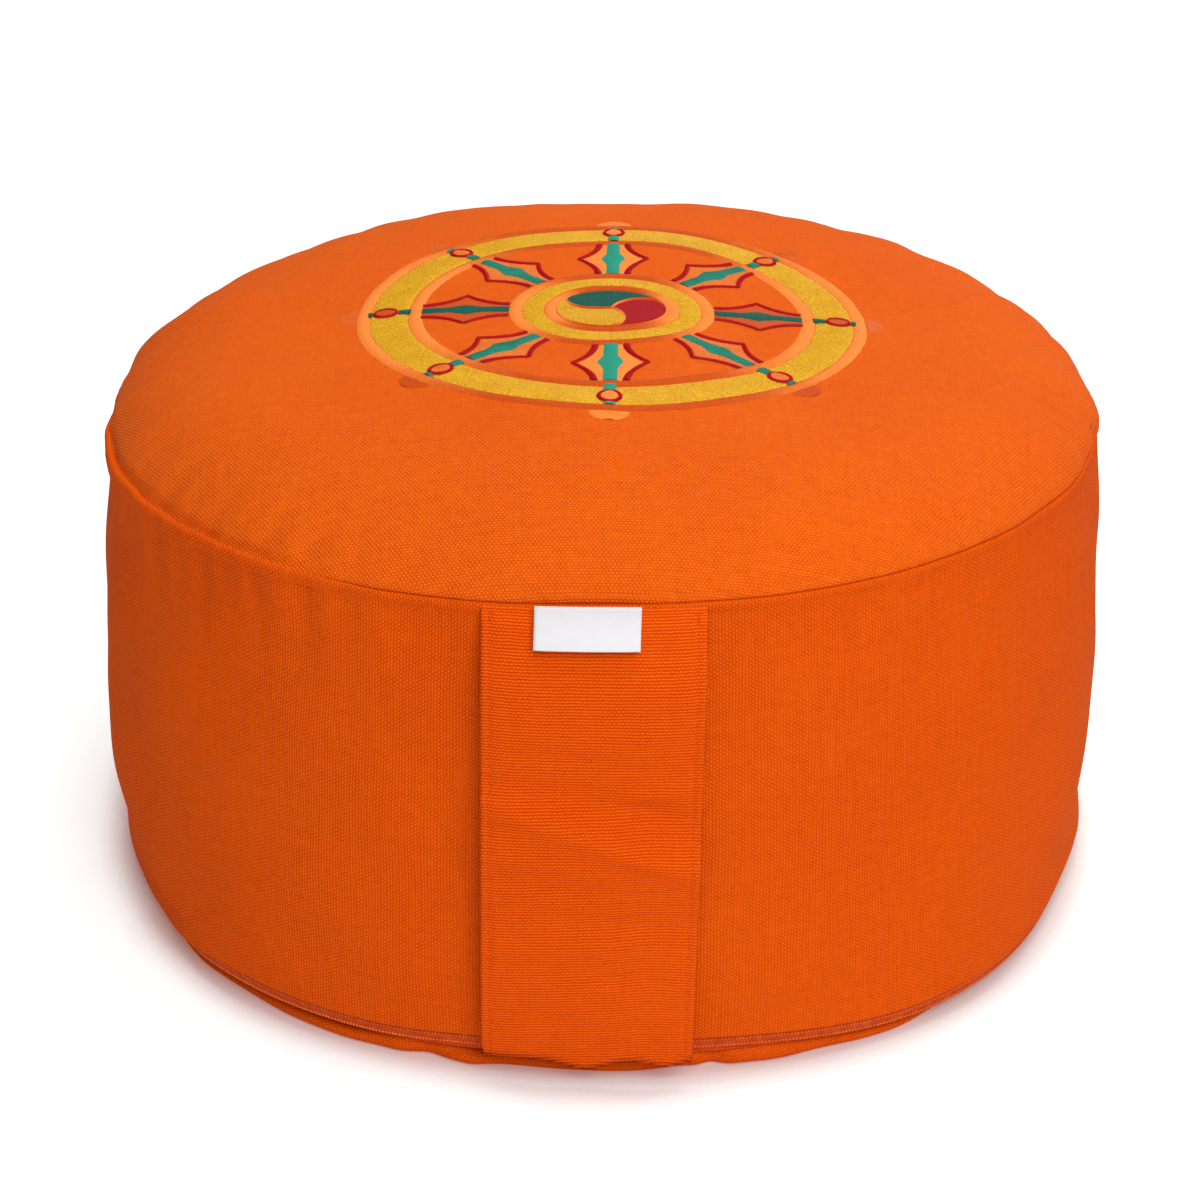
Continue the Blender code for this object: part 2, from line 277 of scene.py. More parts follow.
def new_object(name, data):
    """Puts a mesh, a light or a camera into the scene."""
    made = bpy.data.objects.new(name, data)
    bpy.context.scene.collection.objects.link(made)
    return made


def cloth_mesh(name, points, threads, closed=True, middle=None):
    """A mesh of rows by columns of points. threads is where each point lies on the flat cloth.

    A closed one runs round the cushion, and threads then has one column more, for the last one's far
    side. middle is a point that fills the first row.
    """
    columns = points.shape[1]
    row, column, faces = grid_faces(*points.shape[:2], closed)
    faces = faces.tolist()
    laid = np.stack([threads[row, column], threads[row + 1, column],
                     threads[row + 1, column + 1], threads[row, column + 1]], axis=1).reshape(-1, 2)
    verts = points.reshape(-1, 3)
    if middle is not None:
        faces += [[len(verts), index, (index + 1) % columns] for index in range(columns)]
        fan = [[(0.0, 0.0), threads[0, index], threads[0, index + 1]] for index in range(columns)]
        laid = np.concatenate([laid, np.array(fan).reshape(-1, 2)])
        verts = np.concatenate([verts, [middle]])
    mesh = bpy.data.meshes.new(name)
    mesh.from_pydata(verts.tolist(), [], faces)
    mesh.uv_layers.new(name="threads").uv.foreach_set("vector", laid.astype(np.float32).ravel())
    mesh.shade_smooth()
    return mesh


def along(points):
    """How far each row of points lies from the first one, measured over the cloth."""
    steps = np.linalg.norm(np.diff(points, axis=0), axis=-1)
    return np.concatenate([np.zeros((1,) + steps.shape[1:]), np.cumsum(steps, axis=0)])


def closed_round(values):
    """The same rows with the first column repeated at the end."""
    return np.concatenate([values, values[:, :1]], axis=1)


def disc_threads(points, angles):
    """Where the points of a disc lie on its flat cloth: as far from the middle as over the cloth."""
    reach = along(points) + np.linalg.norm(points[0, :, :2], axis=-1)
    return closed_round(on_plan(angles, reach))


SEAM_VALLEY = 0.75          # it lies lower at the left, behind the band's edge
SEAM_GATHER_SHARE = 0.4     # of the small folds' depth, right at the seam
SEAM_ROLL = (
    # the folded edge of the top panel: outwards from the seam, above the seam
    (-0.0015, 0.0026), (-0.0009, 0.0018), (-0.0006, 0.0011), (-0.0005, 0.0006), (-0.0007, 0.00025),
    (-0.0011, 0.0),
)

angles = np.arange(COLUMNS) * 360.0 / COLUMNS
seam_out = (SEAM_RADIUS + folds_at(TOP_LOBES, angles) - bed(angles) - folds_at(PUCKERS, angles)
            - SEAM_GATHER_SHARE * folds_at(GATHERS, angles))
roll_share = 1.0 - SEAM_VALLEY * left_part(angles)
reach = np.sin(np.linspace(math.asin(TOP_START), math.asin(TOP_END), TOP_ROWS))
seam = seam_height(angles)
top_rows = [place(angles, top_radius(angles, share), top_height(angles, share)) for share in reach]
top_rows += [place(angles, seam_out + out, seam + up * roll_share) for out, up in SEAM_ROLL]
top_points = np.stack(top_rows)
top_middle = (0.0, 0.0, float(top_height(0.0, 0.0)))
top_mesh = cloth_mesh("top_panel", top_points, disc_threads(top_points, angles), middle=top_middle)
# Its faces take the second material, the top's copy of the canvas with painted light.
for face in top_mesh.polygons:
    face.material_index = 1


def step(tree, kind, *feeds, output=0, **settings):
    """Adds a shader node. Each feed is a number or another node's output, for its inputs in turn."""
    made = tree.nodes.new("ShaderNode" + kind)
    for setting, value in settings.items():
        setattr(made, setting, value)
    for feed, socket in zip(feeds, made.inputs):
        if isinstance(feed, bpy.types.NodeSocket):
            tree.links.new(feed, socket)
        elif feed is not None:
            socket.default_value = feed
    return made.outputs[output]


def maths(tree, operation, *feeds):
    """Adds a node that works out one number."""
    return step(tree, "Math", *feeds, operation=operation)


def noise(tree, place_socket, scale, detail):
    """Adds a node of soft random ups and downs."""
    return step(tree, "TexNoise", place_socket, None, scale, detail)


def ramp(tree, factor, *stops):
    """Adds a node that turns a number into a colour. Each stop is (number, colour)."""
    colour = step(tree, "ValToRGB", factor)
    held = colour.node.color_ramp.elements
    for index, (number, shade) in enumerate(stops):
        if index > 1:
            held.new(number)
        held[index].position = number
        held[index].color = (*shade, 1.0)
    return colour


def new_finish(name, roughness, specular, sheen=0.0, sheen_colour=(1.0, 1.0, 1.0), sheen_roughness=0.5):
    """A material with its shader. Returns the material, its node tree and the shader."""
    material = bpy.data.materials.new(name)
    material.use_nodes = True
    shader = material.node_tree.nodes["Principled BSDF"]
    shader.inputs["Roughness"].default_value = roughness
    shader.inputs["Specular IOR Level"].default_value = specular
    shader.inputs["Sheen Weight"].default_value = sheen
    shader.inputs["Sheen Tint"].default_value = (*sheen_colour, 1.0)
    shader.inputs["Sheen Roughness"].default_value = sheen_roughness
    return material, material.node_tree, shader


def relief(tree, shader, height, distance):
    """Feeds a height into the shader as bumps of a real depth."""
    bump = step(tree, "Bump", 1.0, distance)
    tree.links.new(height, bump.node.inputs["Height"])
    tree.links.new(bump, shader.inputs["Normal"])


def colour_along(tree, shader, factor, *stops):
    """Colours the shader by a number, between stops as in ramp."""
    tree.links.new(ramp(tree, factor, *stops), shader.inputs["Base Color"])


def canvas_finish(name, peak, pit, dot=0.42, rib=0.24, gloss=0.02):
    """Plain-woven cotton: warp threads show as dots over thicker weft rows, a little uneven and fuzzy.
    Its colour follows the weave's height from pit to peak, so the low places between threads carry
    painted shade, with a random mottle on top.

    dot and rib are how much the two stand out.
    """
    material, tree, shader = new_finish(name, 0.90, gloss, 0.02, ORANGE_SHEEN, 0.45)
    laid = step(tree, "UVMap", uv_map="threads")
    object_place = step(tree, "TexCoord", output=3)
    wander = noise(tree, object_place, 70.0, 2.0)
    stray = maths(tree, "MULTIPLY_ADD", wander, THREAD_WANDER, -THREAD_WANDER / 2.0)
    jostle = noise(tree, object_place, 520.0, 1.0)
    stray = maths(tree, "MULTIPLY_ADD", jostle, THREAD_JOSTLE, stray)
    split = step(tree, "SeparateXYZ", laid)
    across = maths(tree, "ADD", split, stray)
    down = maths(tree, "SUBTRACT", split.node.outputs[1], stray)
    warp = maths(tree, "COSINE", maths(tree, "MULTIPLY", across, math.pi / WARP_PITCH))
    weft = maths(tree, "COSINE", maths(tree, "MULTIPLY", down, math.pi / WEFT_PITCH))
    rows = maths(tree, "COSINE", maths(tree, "MULTIPLY", down, math.tau / WEFT_PITCH))
    dots = maths(tree, "MULTIPLY", warp, weft)
    warp_streak = step(tree, "Mapping", laid, None, None, (1.0 / WARP_PITCH, 45.0, 1.0))
    weft_streak = step(tree, "Mapping", laid, None, None, (45.0, 1.0 / WEFT_PITCH, 1.0))
    warp_slub = noise(tree, warp_streak, 1.0, 1.0)
    weft_slub = noise(tree, weft_streak, 1.0, 1.0)
    slub = maths(tree, "ADD", warp_slub, weft_slub)
    worn = noise(tree, object_place, 330.0, 2.0)
    cloth = maths(tree, "MULTIPLY", dots, maths(tree, "MULTIPLY", worn, 2.0 * dot))
    cloth = maths(tree, "ADD", cloth, 0.24)
    cloth = maths(tree, "MULTIPLY_ADD", rows, rib, cloth)
    cloth = maths(tree, "MULTIPLY_ADD", slub, 0.26, cloth)
    relief(tree, shader, cloth, WEAVE_RELIEF)
    mottle = noise(tree, object_place, 16.0, 3.0)
    tone = maths(tree, "MULTIPLY_ADD", mottle, 0.30, maths(tree, "SUBTRACT", cloth, 0.15))
    # painted shade: the low places of the weave are coloured towards pit
    colour_along(tree, shader, tone, (0.05, pit), (0.72, peak))
    return material


canvas = canvas_finish("canvas", ORANGE, ORANGE_PIT)
# The top panel's copy of the canvas, its colours brighter and yellower as painted light.
top_canvas_painted_light = canvas_finish("top_canvas_painted_light", TOP_ORANGE_PAINTED_LIGHT, TOP_PIT_PAINTED_LIGHT, 0.46, 0.26, 0.10)


# ------------------------------------------------------------------ Side band
# One long strip of the same canvas, sewn to the top panel in a folded seam. It swells softly, has
# slack places where the filling is thin, a soft fold low down at the left, and hangs over the zip.

BAND_RADIUS = 0.1735        # at its lower edge
BAND_EDGE = 0.0108
BAND_BULGE = 0.0025
BAND_ROWS = 58
FOLD_ROWS = 0.70            # share of the rows that lie above the fold at the left
FOLD_CROWDING = 0.55        # how much the rows crowd towards it
CROWDED_SPAN = (-108.0, -92.0, -46.0, -34.0)
BAND_UNEVEN = 0.0004
BAND_UNEVEN_LENGTH = 0.035
BAND_UNEVEN_SEED = 9
PUCKER_DROP = 0.018         # how far down the band the broad folds reach
GATHER_DROP = 0.022         # and the small ones
LIP_SWELL = 0.0020          # the band's edge stands proud along the left of the top seam
LIP_BELOW = 0.0024
LIP_DEPTH = 0.008
DRAWN_IN = 0.0012           # the wall comes in a little above the zip at the front
DRAWN_IN_HALF = 38.0
DRAWN_IN_FROM = 0.80        # share of the way down the band
FOLD_DEPTH = 0.0024         # the band overhangs by this much at the fold
FOLD_LEAN = 0.085           # below it the wall leans in by this much for its height
FOLD_REACH = 0.030          # down to this far below it
FOLD_EDGE = (-0.0003, 0.0020)  # the overhang begins and is full this far below it
FOLD_SPAN = (-104.0, -84.0, -58.0, -46.0)
FLAP_CLOTH = 0.0009         # how thick its hanging edge is
FLAP_INSIDE = 0.0108        # the edge hangs down over the zip from at least this height
FLAP_DROOP = 0.0052         # and so much lower at the left
DROOP_ENDS = (-58.0, -41.0)
FLAP_WAVE = 0.00015
FLAP_SEED = 3
SLOT_HIGH = 0.0100          # upper edge of the slot for the zip in the bottom seam
SLOT_CLOSED_DEPTH = 0.0015
SLOT_DEPTH = 0.0056
SLOT_CLOSED = 0.0012
SLOT_HALF_ANGLE = 73.0
SLOT_END_ANGLE = 80.0
SLOT_ROOF = 0.0004          # its inside lies this much higher than the band's edge
BAND_TOP = 0.0034           # the wall's rows start this far below the top seam
BAND_TURN = 0.0014          # and end this far above the edge, which turns under there

FOLD_LINE = (
    # angle, height of the fold
    (-100.0, 0.066), (-80.0, 0.060), (-72.0, 0.050), (-66.0, 0.041), (-61.0, 0.033),
    (-57.0, 0.0266), (-53.0, 0.0220), (-49.0, 0.0187), (-44.5, 0.0160), (-38.0, 0.0150),
)
ZIP_LINE = (
    # angle, how much higher or lower the zip lies there
    (-90.0, 0.0006), (-39.0, 0.0008), (-20.0, 0.0009), (-13.0, 0.0018), (0.0, 0.0022),
    (15.0, 0.0022), (24.5, 0.0002), (31.5, -0.0016), (90.0, -0.0018),
)
LIP_LINE = (
    # angle, height of the slot's lower edge
    (-90.0, 0.0042), (-45.0, 0.0036), (-26.0, 0.0036), (-20.0, 0.0060), (-16.0, 0.0056),
    (-11.0, 0.0040), (0.0, 0.0050), (10.0, 0.0060), (17.0, 0.0062), (22.0, 0.0050),
    (28.0, 0.0034), (35.0, 0.0026), (50.0, 0.0030), (90.0, 0.0042),
)

DENTS = (
    # angle, height, half angle, half height, depth
    (-84.0, 0.040, 12.0, 0.016, 0.0014),
    (-78.0, 0.142, 9.0, 0.018, 0.0013),
    (-78.0, 0.086, 11.0, 0.013, 0.0013),
    (-92.0, 0.068, 12.0, 0.020, 0.0013),
    (-97.0, 0.095, 20.0, 0.030, 0.0014),
    (-34.0, 0.120, 15.0, 0.022, 0.0012),
    (30.0, 0.060, 14.0, 0.035, 0.0014),
    (-14.5, 0.075, 5.0, 0.060, 0.0016),
    (62.0, 0.110, 14.0, 0.030, 0.0012),
    (82.0, 0.030, 15.0, 0.022, 0.0040),
    (64.0, 0.014, 11.0, 0.018, 0.0022),
    (88.0, 0.066, 14.0, 0.020, 0.0020),
    (94.0, 0.100, 16.0, 0.034, 0.0018),
    (128.0, 0.070, 18.0, 0.032, 0.0018),
    (172.0, 0.050, 20.0, 0.026, 0.0015),
    (-142.0, 0.085, 18.0, 0.030, 0.0018),
)

BAND_LIP = (
    # the folded edge of the band: outwards from the seam and above it, then the same again for what
    # is added at the left
    (-0.0011, 0.0, 0.0, 0.0),
    (-0.0009, 0.0, 0.0001, 0.0007),
    (-0.0006, 0.0, 0.0006, 0.0013),
    (-0.0002, -0.0001, 0.0011, 0.0017),
    (0.0001, -0.0004, 0.0015, 0.0017),
    (0.0003, -0.0009, 0.0018, 0.0014),
    (0.0004, -0.0015, 0.0020, 0.0008),
    (0.0002, -0.0024, 0.0020, 0.0001),
)

FLAP_SHAPE = (
    # the band's lower edge: outwards from the wall, above the edge
    (0.0, 0.0009), (-0.0001, 0.0004), (-0.0004, 0.0001), (-0.0008, 0.0),
)


def dents(angle, height):
    """Inward depth of the slack places in the filling."""
    return sum(depth * bell(turn(angle, middle), half_angle) * bell(height - level, half_height)
               for middle, level, half_angle, half_height, depth in DENTS)


def soft_line(line, at, spread):
    """The value of a line of points at some place, with its corners rounded off."""
    places, values = np.transpose(line)
    near = (-1.0, -0.5, 0.0, 0.5, 1.0)
    return sum(np.interp(at + off * spread, places, values) for off in near) / len(near)


def fold_height(angle):
    """Height of the fold that runs down to the zip at the left."""
    return soft_line(FOLD_LINE, turn(angle, 0.0), 3.0)


def fold(angle, height):
    """Inward depth of the cloth below that fold."""
    below = fold_height(angle) - height
    lean = FOLD_LEAN * np.clip(below, 0.0, FOLD_REACH)
    return within(angle, FOLD_SPAN) * (FOLD_DEPTH * blend(*FOLD_EDGE, below) + lean)


def row_share(angle, row):
    """Where a row of the band's mesh lies. Rows crowd round the fold."""
    near = within(angle, CROWDED_SPAN)
    crowding = 1.0 + FOLD_CROWDING * near
    seam = seam_height(angle)
    fold_share = (seam - fold_height(angle)) / (seam - BAND_EDGE)
    middle = FOLD_ROWS + (fold_share - FOLD_ROWS) * near
    above = middle * (1.0 - (1.0 - min(row / FOLD_ROWS, 1.0)) ** crowding)
    return above + (1.0 - middle) * max((row - FOLD_ROWS) / (1.0 - FOLD_ROWS), 0.0) ** crowding


def wall_height(angle, share):
    """Height of the side band; share is 0 at the top seam, 1 at the zip."""
    return seam_height(angle) + (BAND_EDGE - seam_height(angle)) * share


def wall_radius(angle, share):
    """Radius of the side band without its small folds."""
    straight = SEAM_RADIUS + (BAND_RADIUS - SEAM_RADIUS) * share
    lobe = folds_at(TOP_LOBES, angle) * (1.0 - share) + folds_at(FOOT_LOBES, angle) * share ** 2
    height = wall_height(angle, share)
    folds = folds_at(PUCKERS, angle) * bell(seam_height(angle) - height, PUCKER_DROP)
    bulge = BAND_BULGE * 4.0 * share * (1.0 - share)
    inward = DRAWN_IN * bell(turn(angle, 0.0), DRAWN_IN_HALF) * blend(DRAWN_IN_FROM, 1.0, share)
    return straight + lobe + bulge - folds - bed(angle) - dents(angle, height) - inward


def band_radius(angle, share):
    """Radius of the side band with every fold."""
    height = wall_height(angle, share)
    below_seam = seam_height(angle) - height
    round_way = np.radians(angle) * SEAM_RADIUS
    soft = BAND_UNEVEN * unevenness(round_way, height, BAND_UNEVEN_LENGTH, BAND_UNEVEN_SEED)
    lip = LIP_SWELL * left_part(angle) * bell(below_seam - LIP_BELOW, LIP_DEPTH)
    small = folds_at(GATHERS, angle) * bell(below_seam, GATHER_DROP)
    away = blend(0.0, 0.25, share) * (1.0 - blend(0.85, 1.0, share))
    return wall_radius(angle, share) + lip + soft * away - small - fold(angle, height)


def slot_opening(angle):
    """1 where the bottom seam is open for the zip, 0 where it is sewn shut."""
    return 1.0 - blend(SLOT_HALF_ANGLE, SLOT_END_ANGLE, abs(turn(angle, 0.0)))


def zip_rise(angle):
    """How much higher or lower the zip lies at an angle."""
    return soft_line(ZIP_LINE, turn(angle, 0.0), 4.0)


def slot_edges(angle):
    """Heights of the slot's upper and lower edges, and how deep it is."""
    opening = slot_opening(angle)
    way = turn(angle, 0.0)
    wave = FLAP_WAVE * unevenness(angle / 30.0, angle / 47.0, 1.0, FLAP_SEED)
    droop = FLAP_DROOP * (1.0 - blend(*DROOP_ENDS, way))
    low = soft_line(LIP_LINE, way, 2.0)
    high = opening * (SLOT_HIGH + zip_rise(angle) + wave - droop) + (1.0 - opening) * (low + SLOT_CLOSED)
    return high, low, SLOT_CLOSED_DEPTH + opening * (SLOT_DEPTH - SLOT_CLOSED_DEPTH)


def inside_height(angle):
    """Height of the slot behind the band's hanging edge."""
    high = slot_edges(angle)[0]
    return np.maximum(high, FLAP_INSIDE * slot_opening(angle)) + SLOT_ROOF


def band_rows(angle):
    """The side band from the bottom of the seam's groove to the back of the slot."""
    seam = seam_height(angle)
    left = left_part(angle)
    high, _, depth = slot_edges(angle)
    rows = [place(angle, seam_out + out + swell * left, seam + up + rise * left)
            for out, up, swell, rise in BAND_LIP]
    top = seam - BAND_TOP
    bottom = high + BAND_TURN
    for share in (row_share(angle, row) for row in np.linspace(0.0, 1.0, BAND_ROWS)):
        rows.append(place(angle, band_radius(angle, share), top + (bottom - top) * share))
    edge = band_radius(angle, 1.0)
    inside = inside_height(angle)
    rows += [place(angle, edge + out, high + up) for out, up in FLAP_SHAPE]
    rows.append(place(angle, edge - FLAP_CLOTH, np.maximum(high + 0.0003, inside - 0.0006)))
    rows.append(place(angle, edge - FLAP_CLOTH - 0.0001, inside))
    rows.append(place(angle, edge - depth, inside))
    return np.stack(rows)


band_points = band_rows(angles)
weft_count = 2 * round(math.tau * SEAM_RADIUS / WEFT_PITCH / 2.0)
round_it = np.arange(COLUMNS + 1) / COLUMNS * weft_count * WEFT_PITCH
down_it = closed_round(along(band_points))
band_threads = np.stack(np.broadcast_arrays(down_it, round_it[None, :]), axis=-1)
band_mesh = cloth_mesh("side_band", band_points, band_threads)


# ------------------------------------------------------------------ Base panel
# A disc of canvas under the filling. Its rim rolls up from the floor to the lower side of the zip,
# fuller and puckered on either side of the handle, and tucked under at the right.

FOOT_RADIUS = 0.1735
FOOT_DENT_SHARE = 0.4
FOOT_PAST_EDGE = 0.0004     # the rim stands out past the wall's lower edge by this much at most
RIM_CLEAR = 0.0003          # its upper end stays in front of the slot's back by this much
TUCK = 0.0030               # how far the rim is tucked under at the right
TUCK_SPAN = (31.0, 40.0, 70.0, 95.0)
BASE_SHARES = (0.97, 0.92, 0.84, 0.74, 0.62, 0.48, 0.34, 0.20, 0.08)

FOOT_LINE = (
    # angle, how far the rim lies inside the wall's lower edge
    (-90.0, 0.0010), (-78.0, 0.0030), (-62.0, 0.0036), (-54.0, 0.0036), (-49.0, 0.0042),
    (-44.0, 0.0044), (-38.0, 0.0038), (-30.0, 0.0030), (-24.0, 0.0022), (-19.0, 0.0016),
    (-14.0, 0.0020), (-10.0, 0.0026), (-7.0, 0.0022), (-4.0, 0.0012), (0.0, 0.0006),
    (3.0, 0.0002), (5.0, 0.0008), (8.0, 0.0026), (10.0, 0.0032), (12.0, 0.0012),
    (15.0, 0.0026), (30.0, 0.0028), (60.0, 0.0020), (90.0, 0.0),
)
RIM_SHAPE = (
    # from the widest place outwards, share of the slot's height
    (-0.0020, 1.0), (-0.0013, 0.93), (-0.0006, 0.80), (-0.0001, 0.62), (0.0, 0.44),
    (-0.0001, 0.28), (-0.0006, 0.12), (-0.0016, 0.02), (-0.0032, 0.0),
)
RIM_PUCKERS = (
    # small folds in the rim: angle, half angle, depth
    (-18.0, 1.9, 0.0020), (-13.0, 2.0, -0.0014), (-23.0, 2.6, 0.0006), (11.8, 1.2, 0.0018),
    (18.0, 3.0, -0.0008), (24.0, 3.0, 0.0006), (-40.0, 4.0, 0.0006),
)


def base_rows(angle):
    """The base panel from the back of the slot, round its rim and in under the cushion."""
    _, low, depth = slot_edges(angle)
    edge = band_radius(angle, 1.0)
    foot = FOOT_RADIUS + folds_at(FOOT_LOBES, angle) - FOOT_DENT_SHARE * dents(angle, 0.0)
    foot = np.minimum(foot, edge + FOOT_PAST_EDGE)
    foot = foot - folds_at(RIM_PUCKERS, angle) - TUCK * within(angle, TUCK_SPAN)
    foot = foot - soft_line(FOOT_LINE, turn(angle, 0.0), 2.0)
    inside = edge - depth
    rows = [place(angle, inside, inside_height(angle)), place(angle, inside, low)]
    for out, level in RIM_SHAPE:
        least = inside + RIM_CLEAR if level == 1.0 else 0.0
        rows.append(place(angle, np.maximum(foot + out, least), low * level))
    rim = foot + RIM_SHAPE[-1][0]
    rows += [place(angle, rim * share, 0.0) for share in BASE_SHARES]
    return np.stack(rows)


base_points = base_rows(angles)
base_threads = disc_threads(base_points[::-1], angles)[::-1] * (1.0, -1.0)  # mirrored, as it faces down
base_mesh = cloth_mesh("base_panel", base_points, base_threads)


# ------------------------------------------------------------------ Filled cushion
# The three panels, sewn edge to edge and filled with about 16 litres of husks. Together they are one
# closed skin, and the zip lies in the slot of its bottom seam.

SAME_PLACE = 0.00001        # points of two panels that are closer than this are one

def sew(name, panels, end):
    """Joins panels along the edges they share, closes the underside and returns the cushion."""
    bm = bmesh.new()
    for panel in panels:
        bm.from_mesh(panel)
        bpy.data.meshes.remove(panel)
    rims = [point for point in bm.verts if point.is_boundary]
    bmesh.ops.remove_doubles(bm, verts=rims, dist=SAME_PLACE)
    open_edges = [edge for edge in bm.edges if edge.is_boundary]
    last = bmesh.ops.holes_fill(bm, edges=open_edges)["faces"]
    middle = bmesh.ops.poke(bm, faces=last)["verts"][0]
    middle.co = end
    for face in bm.faces:
        face.smooth = True
    mesh = bpy.data.meshes.new(name)
    bm.to_mesh(mesh)
    bm.free()
    return new_object(name, mesh)


cushion = sew("filled_cushion", [top_mesh, band_mesh, base_mesh], (0.0, 0.0, 0.0))
cushion.data.materials.append(canvas)
cushion.data.materials.append(top_canvas_painted_light)
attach(cushion, "root")
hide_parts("cushion")


# ------------------------------------------------------------------ Handle
# A strip of heavier canvas folded double and stitched near both edges. It is sewn into the top seam
# and the bottom one, and hangs slack between them, so that a hand goes behind it.

HANDLE_WIDTH = 0.0635
HANDLE_SHIFT = -0.0015
HANDLE_LEAN = -0.0020       # further towards -X at its lower end
HANDLE_THICK = 0.0015
HANDLE_TOP_INSET = 0.0010
HANDLE_BOTTOM = 0.0063
HANDLE_HEM = 0.0124         # where its outer layer ends, above the zip
HANDLE_TURN_IN = 0.0036     # how much further the inner layer reaches
HANDLE_FLAT_SHARE = 0.62    # 0 follows the round wall, 1 lies across it like a board
HANDLE_FLAT_TILT = 0.45     # its left side lies closer to the wall than its right
HANDLE_SLACK_TILT = 0.35    # and hangs less far out
HANDLE_CLEAR = 0.0003
HANDLE_ACROSS = 64
HANDLE_DOWN = 150
HANDLE_EDGE = 0.0007        # rounding of its folded sides
HANDLE_SEWN_IN = 0.0006     # its top end lies this much behind the seam
HANDLE_SEWN_SHARE = 0.030   # over this share of its length
HANDLE_INNER_WRINKLE = 0.8  # share of the wrinkles that its inner layer follows
HEM_STITCH_INSET = 0.0026
HEM_STITCH_PITCH = 0.0032
HEM_STITCH_LONG = 0.0024
HEM_STITCH_RADIUS = 0.00024
HEM_STITCH_OFF = 0.00004    # how far a stitch's middle stands off the cloth
HEM_START = 0.01            # where the stitches start, as a share of the handle's length
HEM_LINE = 0.146
HEM_DROP = 0.1495           # the handle's length along its outer face
HEM_GROOVE = 0.00035
HEM_GROOVE_HALF = 0.0006
HANDLE_ORANGE = (0.78, 0.100, 0.0036)
# HANDLE_PIT: painted shade in the low places of the handle's weave, and the darker end of the hem
# thread's uneven tone
HANDLE_PIT = (0.54, 0.037, 0.0010)
STITCH_ORANGE = (0.64, 0.074, 0.003)
THREAD_RELIEF = 0.00005

HANDLE_SLACK = (
    # share of its length, how far it hangs out from the wall
    (0.0, 0.0), (0.06, 0.0014), (0.15, 0.0060), (0.27, 0.0050), (0.39, 0.0026), (0.45, 0.0044),
    (0.54, 0.0068), (0.60, 0.0054), (0.67, 0.0042), (0.80, 0.0048), (0.92, 0.0054), (1.0, 0.0050),
)

HANDLE_WRINKLES = (
    # share of its length, place across, half share, half width, height, and how much the share grows
    # per metre across
    (0.045, 0.000, 0.030, 0.040, 0.0008, 0.0),
    (0.245, 0.016, 0.022, 0.014, 0.0007, -1.5),
    (0.300, -0.014, 0.022, 0.018, -0.0007, 0.6),
    (0.375, 0.020, 0.018, 0.016, 0.0011, -1.2),
    (0.480, 0.000, 0.034, 0.060, 0.0026, 2.2),
    (0.420, 0.014, 0.026, 0.024, -0.0016, 1.6),
    (0.575, -0.018, 0.030, 0.022, -0.0012, 1.0),
    (0.680, 0.018, 0.024, 0.024, -0.0009, 0.6),
    (0.735, -0.006, 0.020, 0.030, 0.0006, -0.5),
    (0.800, 0.004, 0.022, 0.024, -0.0006, 0.4),
    (0.925, -0.012, 0.020, 0.020, -0.0005, 0.0),
)

HANDLE_HEM_WAVES = (
    # place across, half width, how far its lower end hangs below the line
    (-0.0040, 0.0080, 0.0030),
    (0.0200, 0.0052, 0.0018),
)


def handle_height(x, share):
    """Height of the handle at a share of its length. Its lower end hangs in soft waves."""
    top = seam_height(0.0) - HANDLE_TOP_INSET
    waves = sum(drop * bell(x - middle, half) for middle, half, drop in HANDLE_HEM_WAVES)
    return top + (HANDLE_HEM - top) * share - waves * blend(0.8, 1.0, share)


def wall_front(x, height):
    """The side band's surface at a place across the front, as a distance towards the viewer."""
    angle = np.degrees(np.arcsin(x / SEAM_RADIUS))
    top = seam_height(angle)
    share = np.clip((top - height) / (top - BAND_EDGE), 0.0, 1.0)
    return np.sqrt(wall_radius(angle, share) ** 2 - x * x)


def handle_back(x, share):
    """Distance of the handle's back from the middle plane of the cushion, towards the viewer."""
    level = seam_height(0.0) - HANDLE_TOP_INSET
    height = level + (HANDLE_BOTTOM - level) * share
    middle = HANDLE_SHIFT + HANDLE_LEAN * share
    bare = wall_front(x, height)
    quarters = [wall_front(middle + HANDLE_WIDTH * part, height) for part in (-0.25, 0.0, 0.25)]
    board = np.maximum.reduce(quarters)
    flat = (HANDLE_FLAT_SHARE + HANDLE_FLAT_TILT * x / HANDLE_WIDTH) * np.sin(math.pi * share) ** 0.5
    tilt = 1.0 + HANDLE_SLACK_TILT * (x - middle) / HANDLE_WIDTH
    slack = soft_line(HANDLE_SLACK, share, 0.03) * tilt
    return bare + np.maximum(board - bare, 0.0) * flat + slack + HANDLE_CLEAR


def handle_wrinkle(x, share):
    """How far the slack cloth stands out or in."""
    total = sum(height * bell(share - level - grow * (x - middle), half) * bell(x - middle, wide)
                for level, middle, half, wide, height, grow in HANDLE_WRINKLES)
    return total * np.sin(math.pi * np.clip(share, 0.0, 1.0)) ** 0.3


def handle_front(x, share):
    """The handle's outer face, with the hem stitching drawn in."""
    from_middle = np.abs(x - HANDLE_SHIFT - HANDLE_LEAN * share)
    from_side = HANDLE_WIDTH / 2.0 - from_middle
    groove = HEM_GROOVE * bell(from_side - HEM_STITCH_INSET, HEM_GROOVE_HALF)
    return handle_back(x, share) + HANDLE_THICK + handle_wrinkle(x, share) - groove


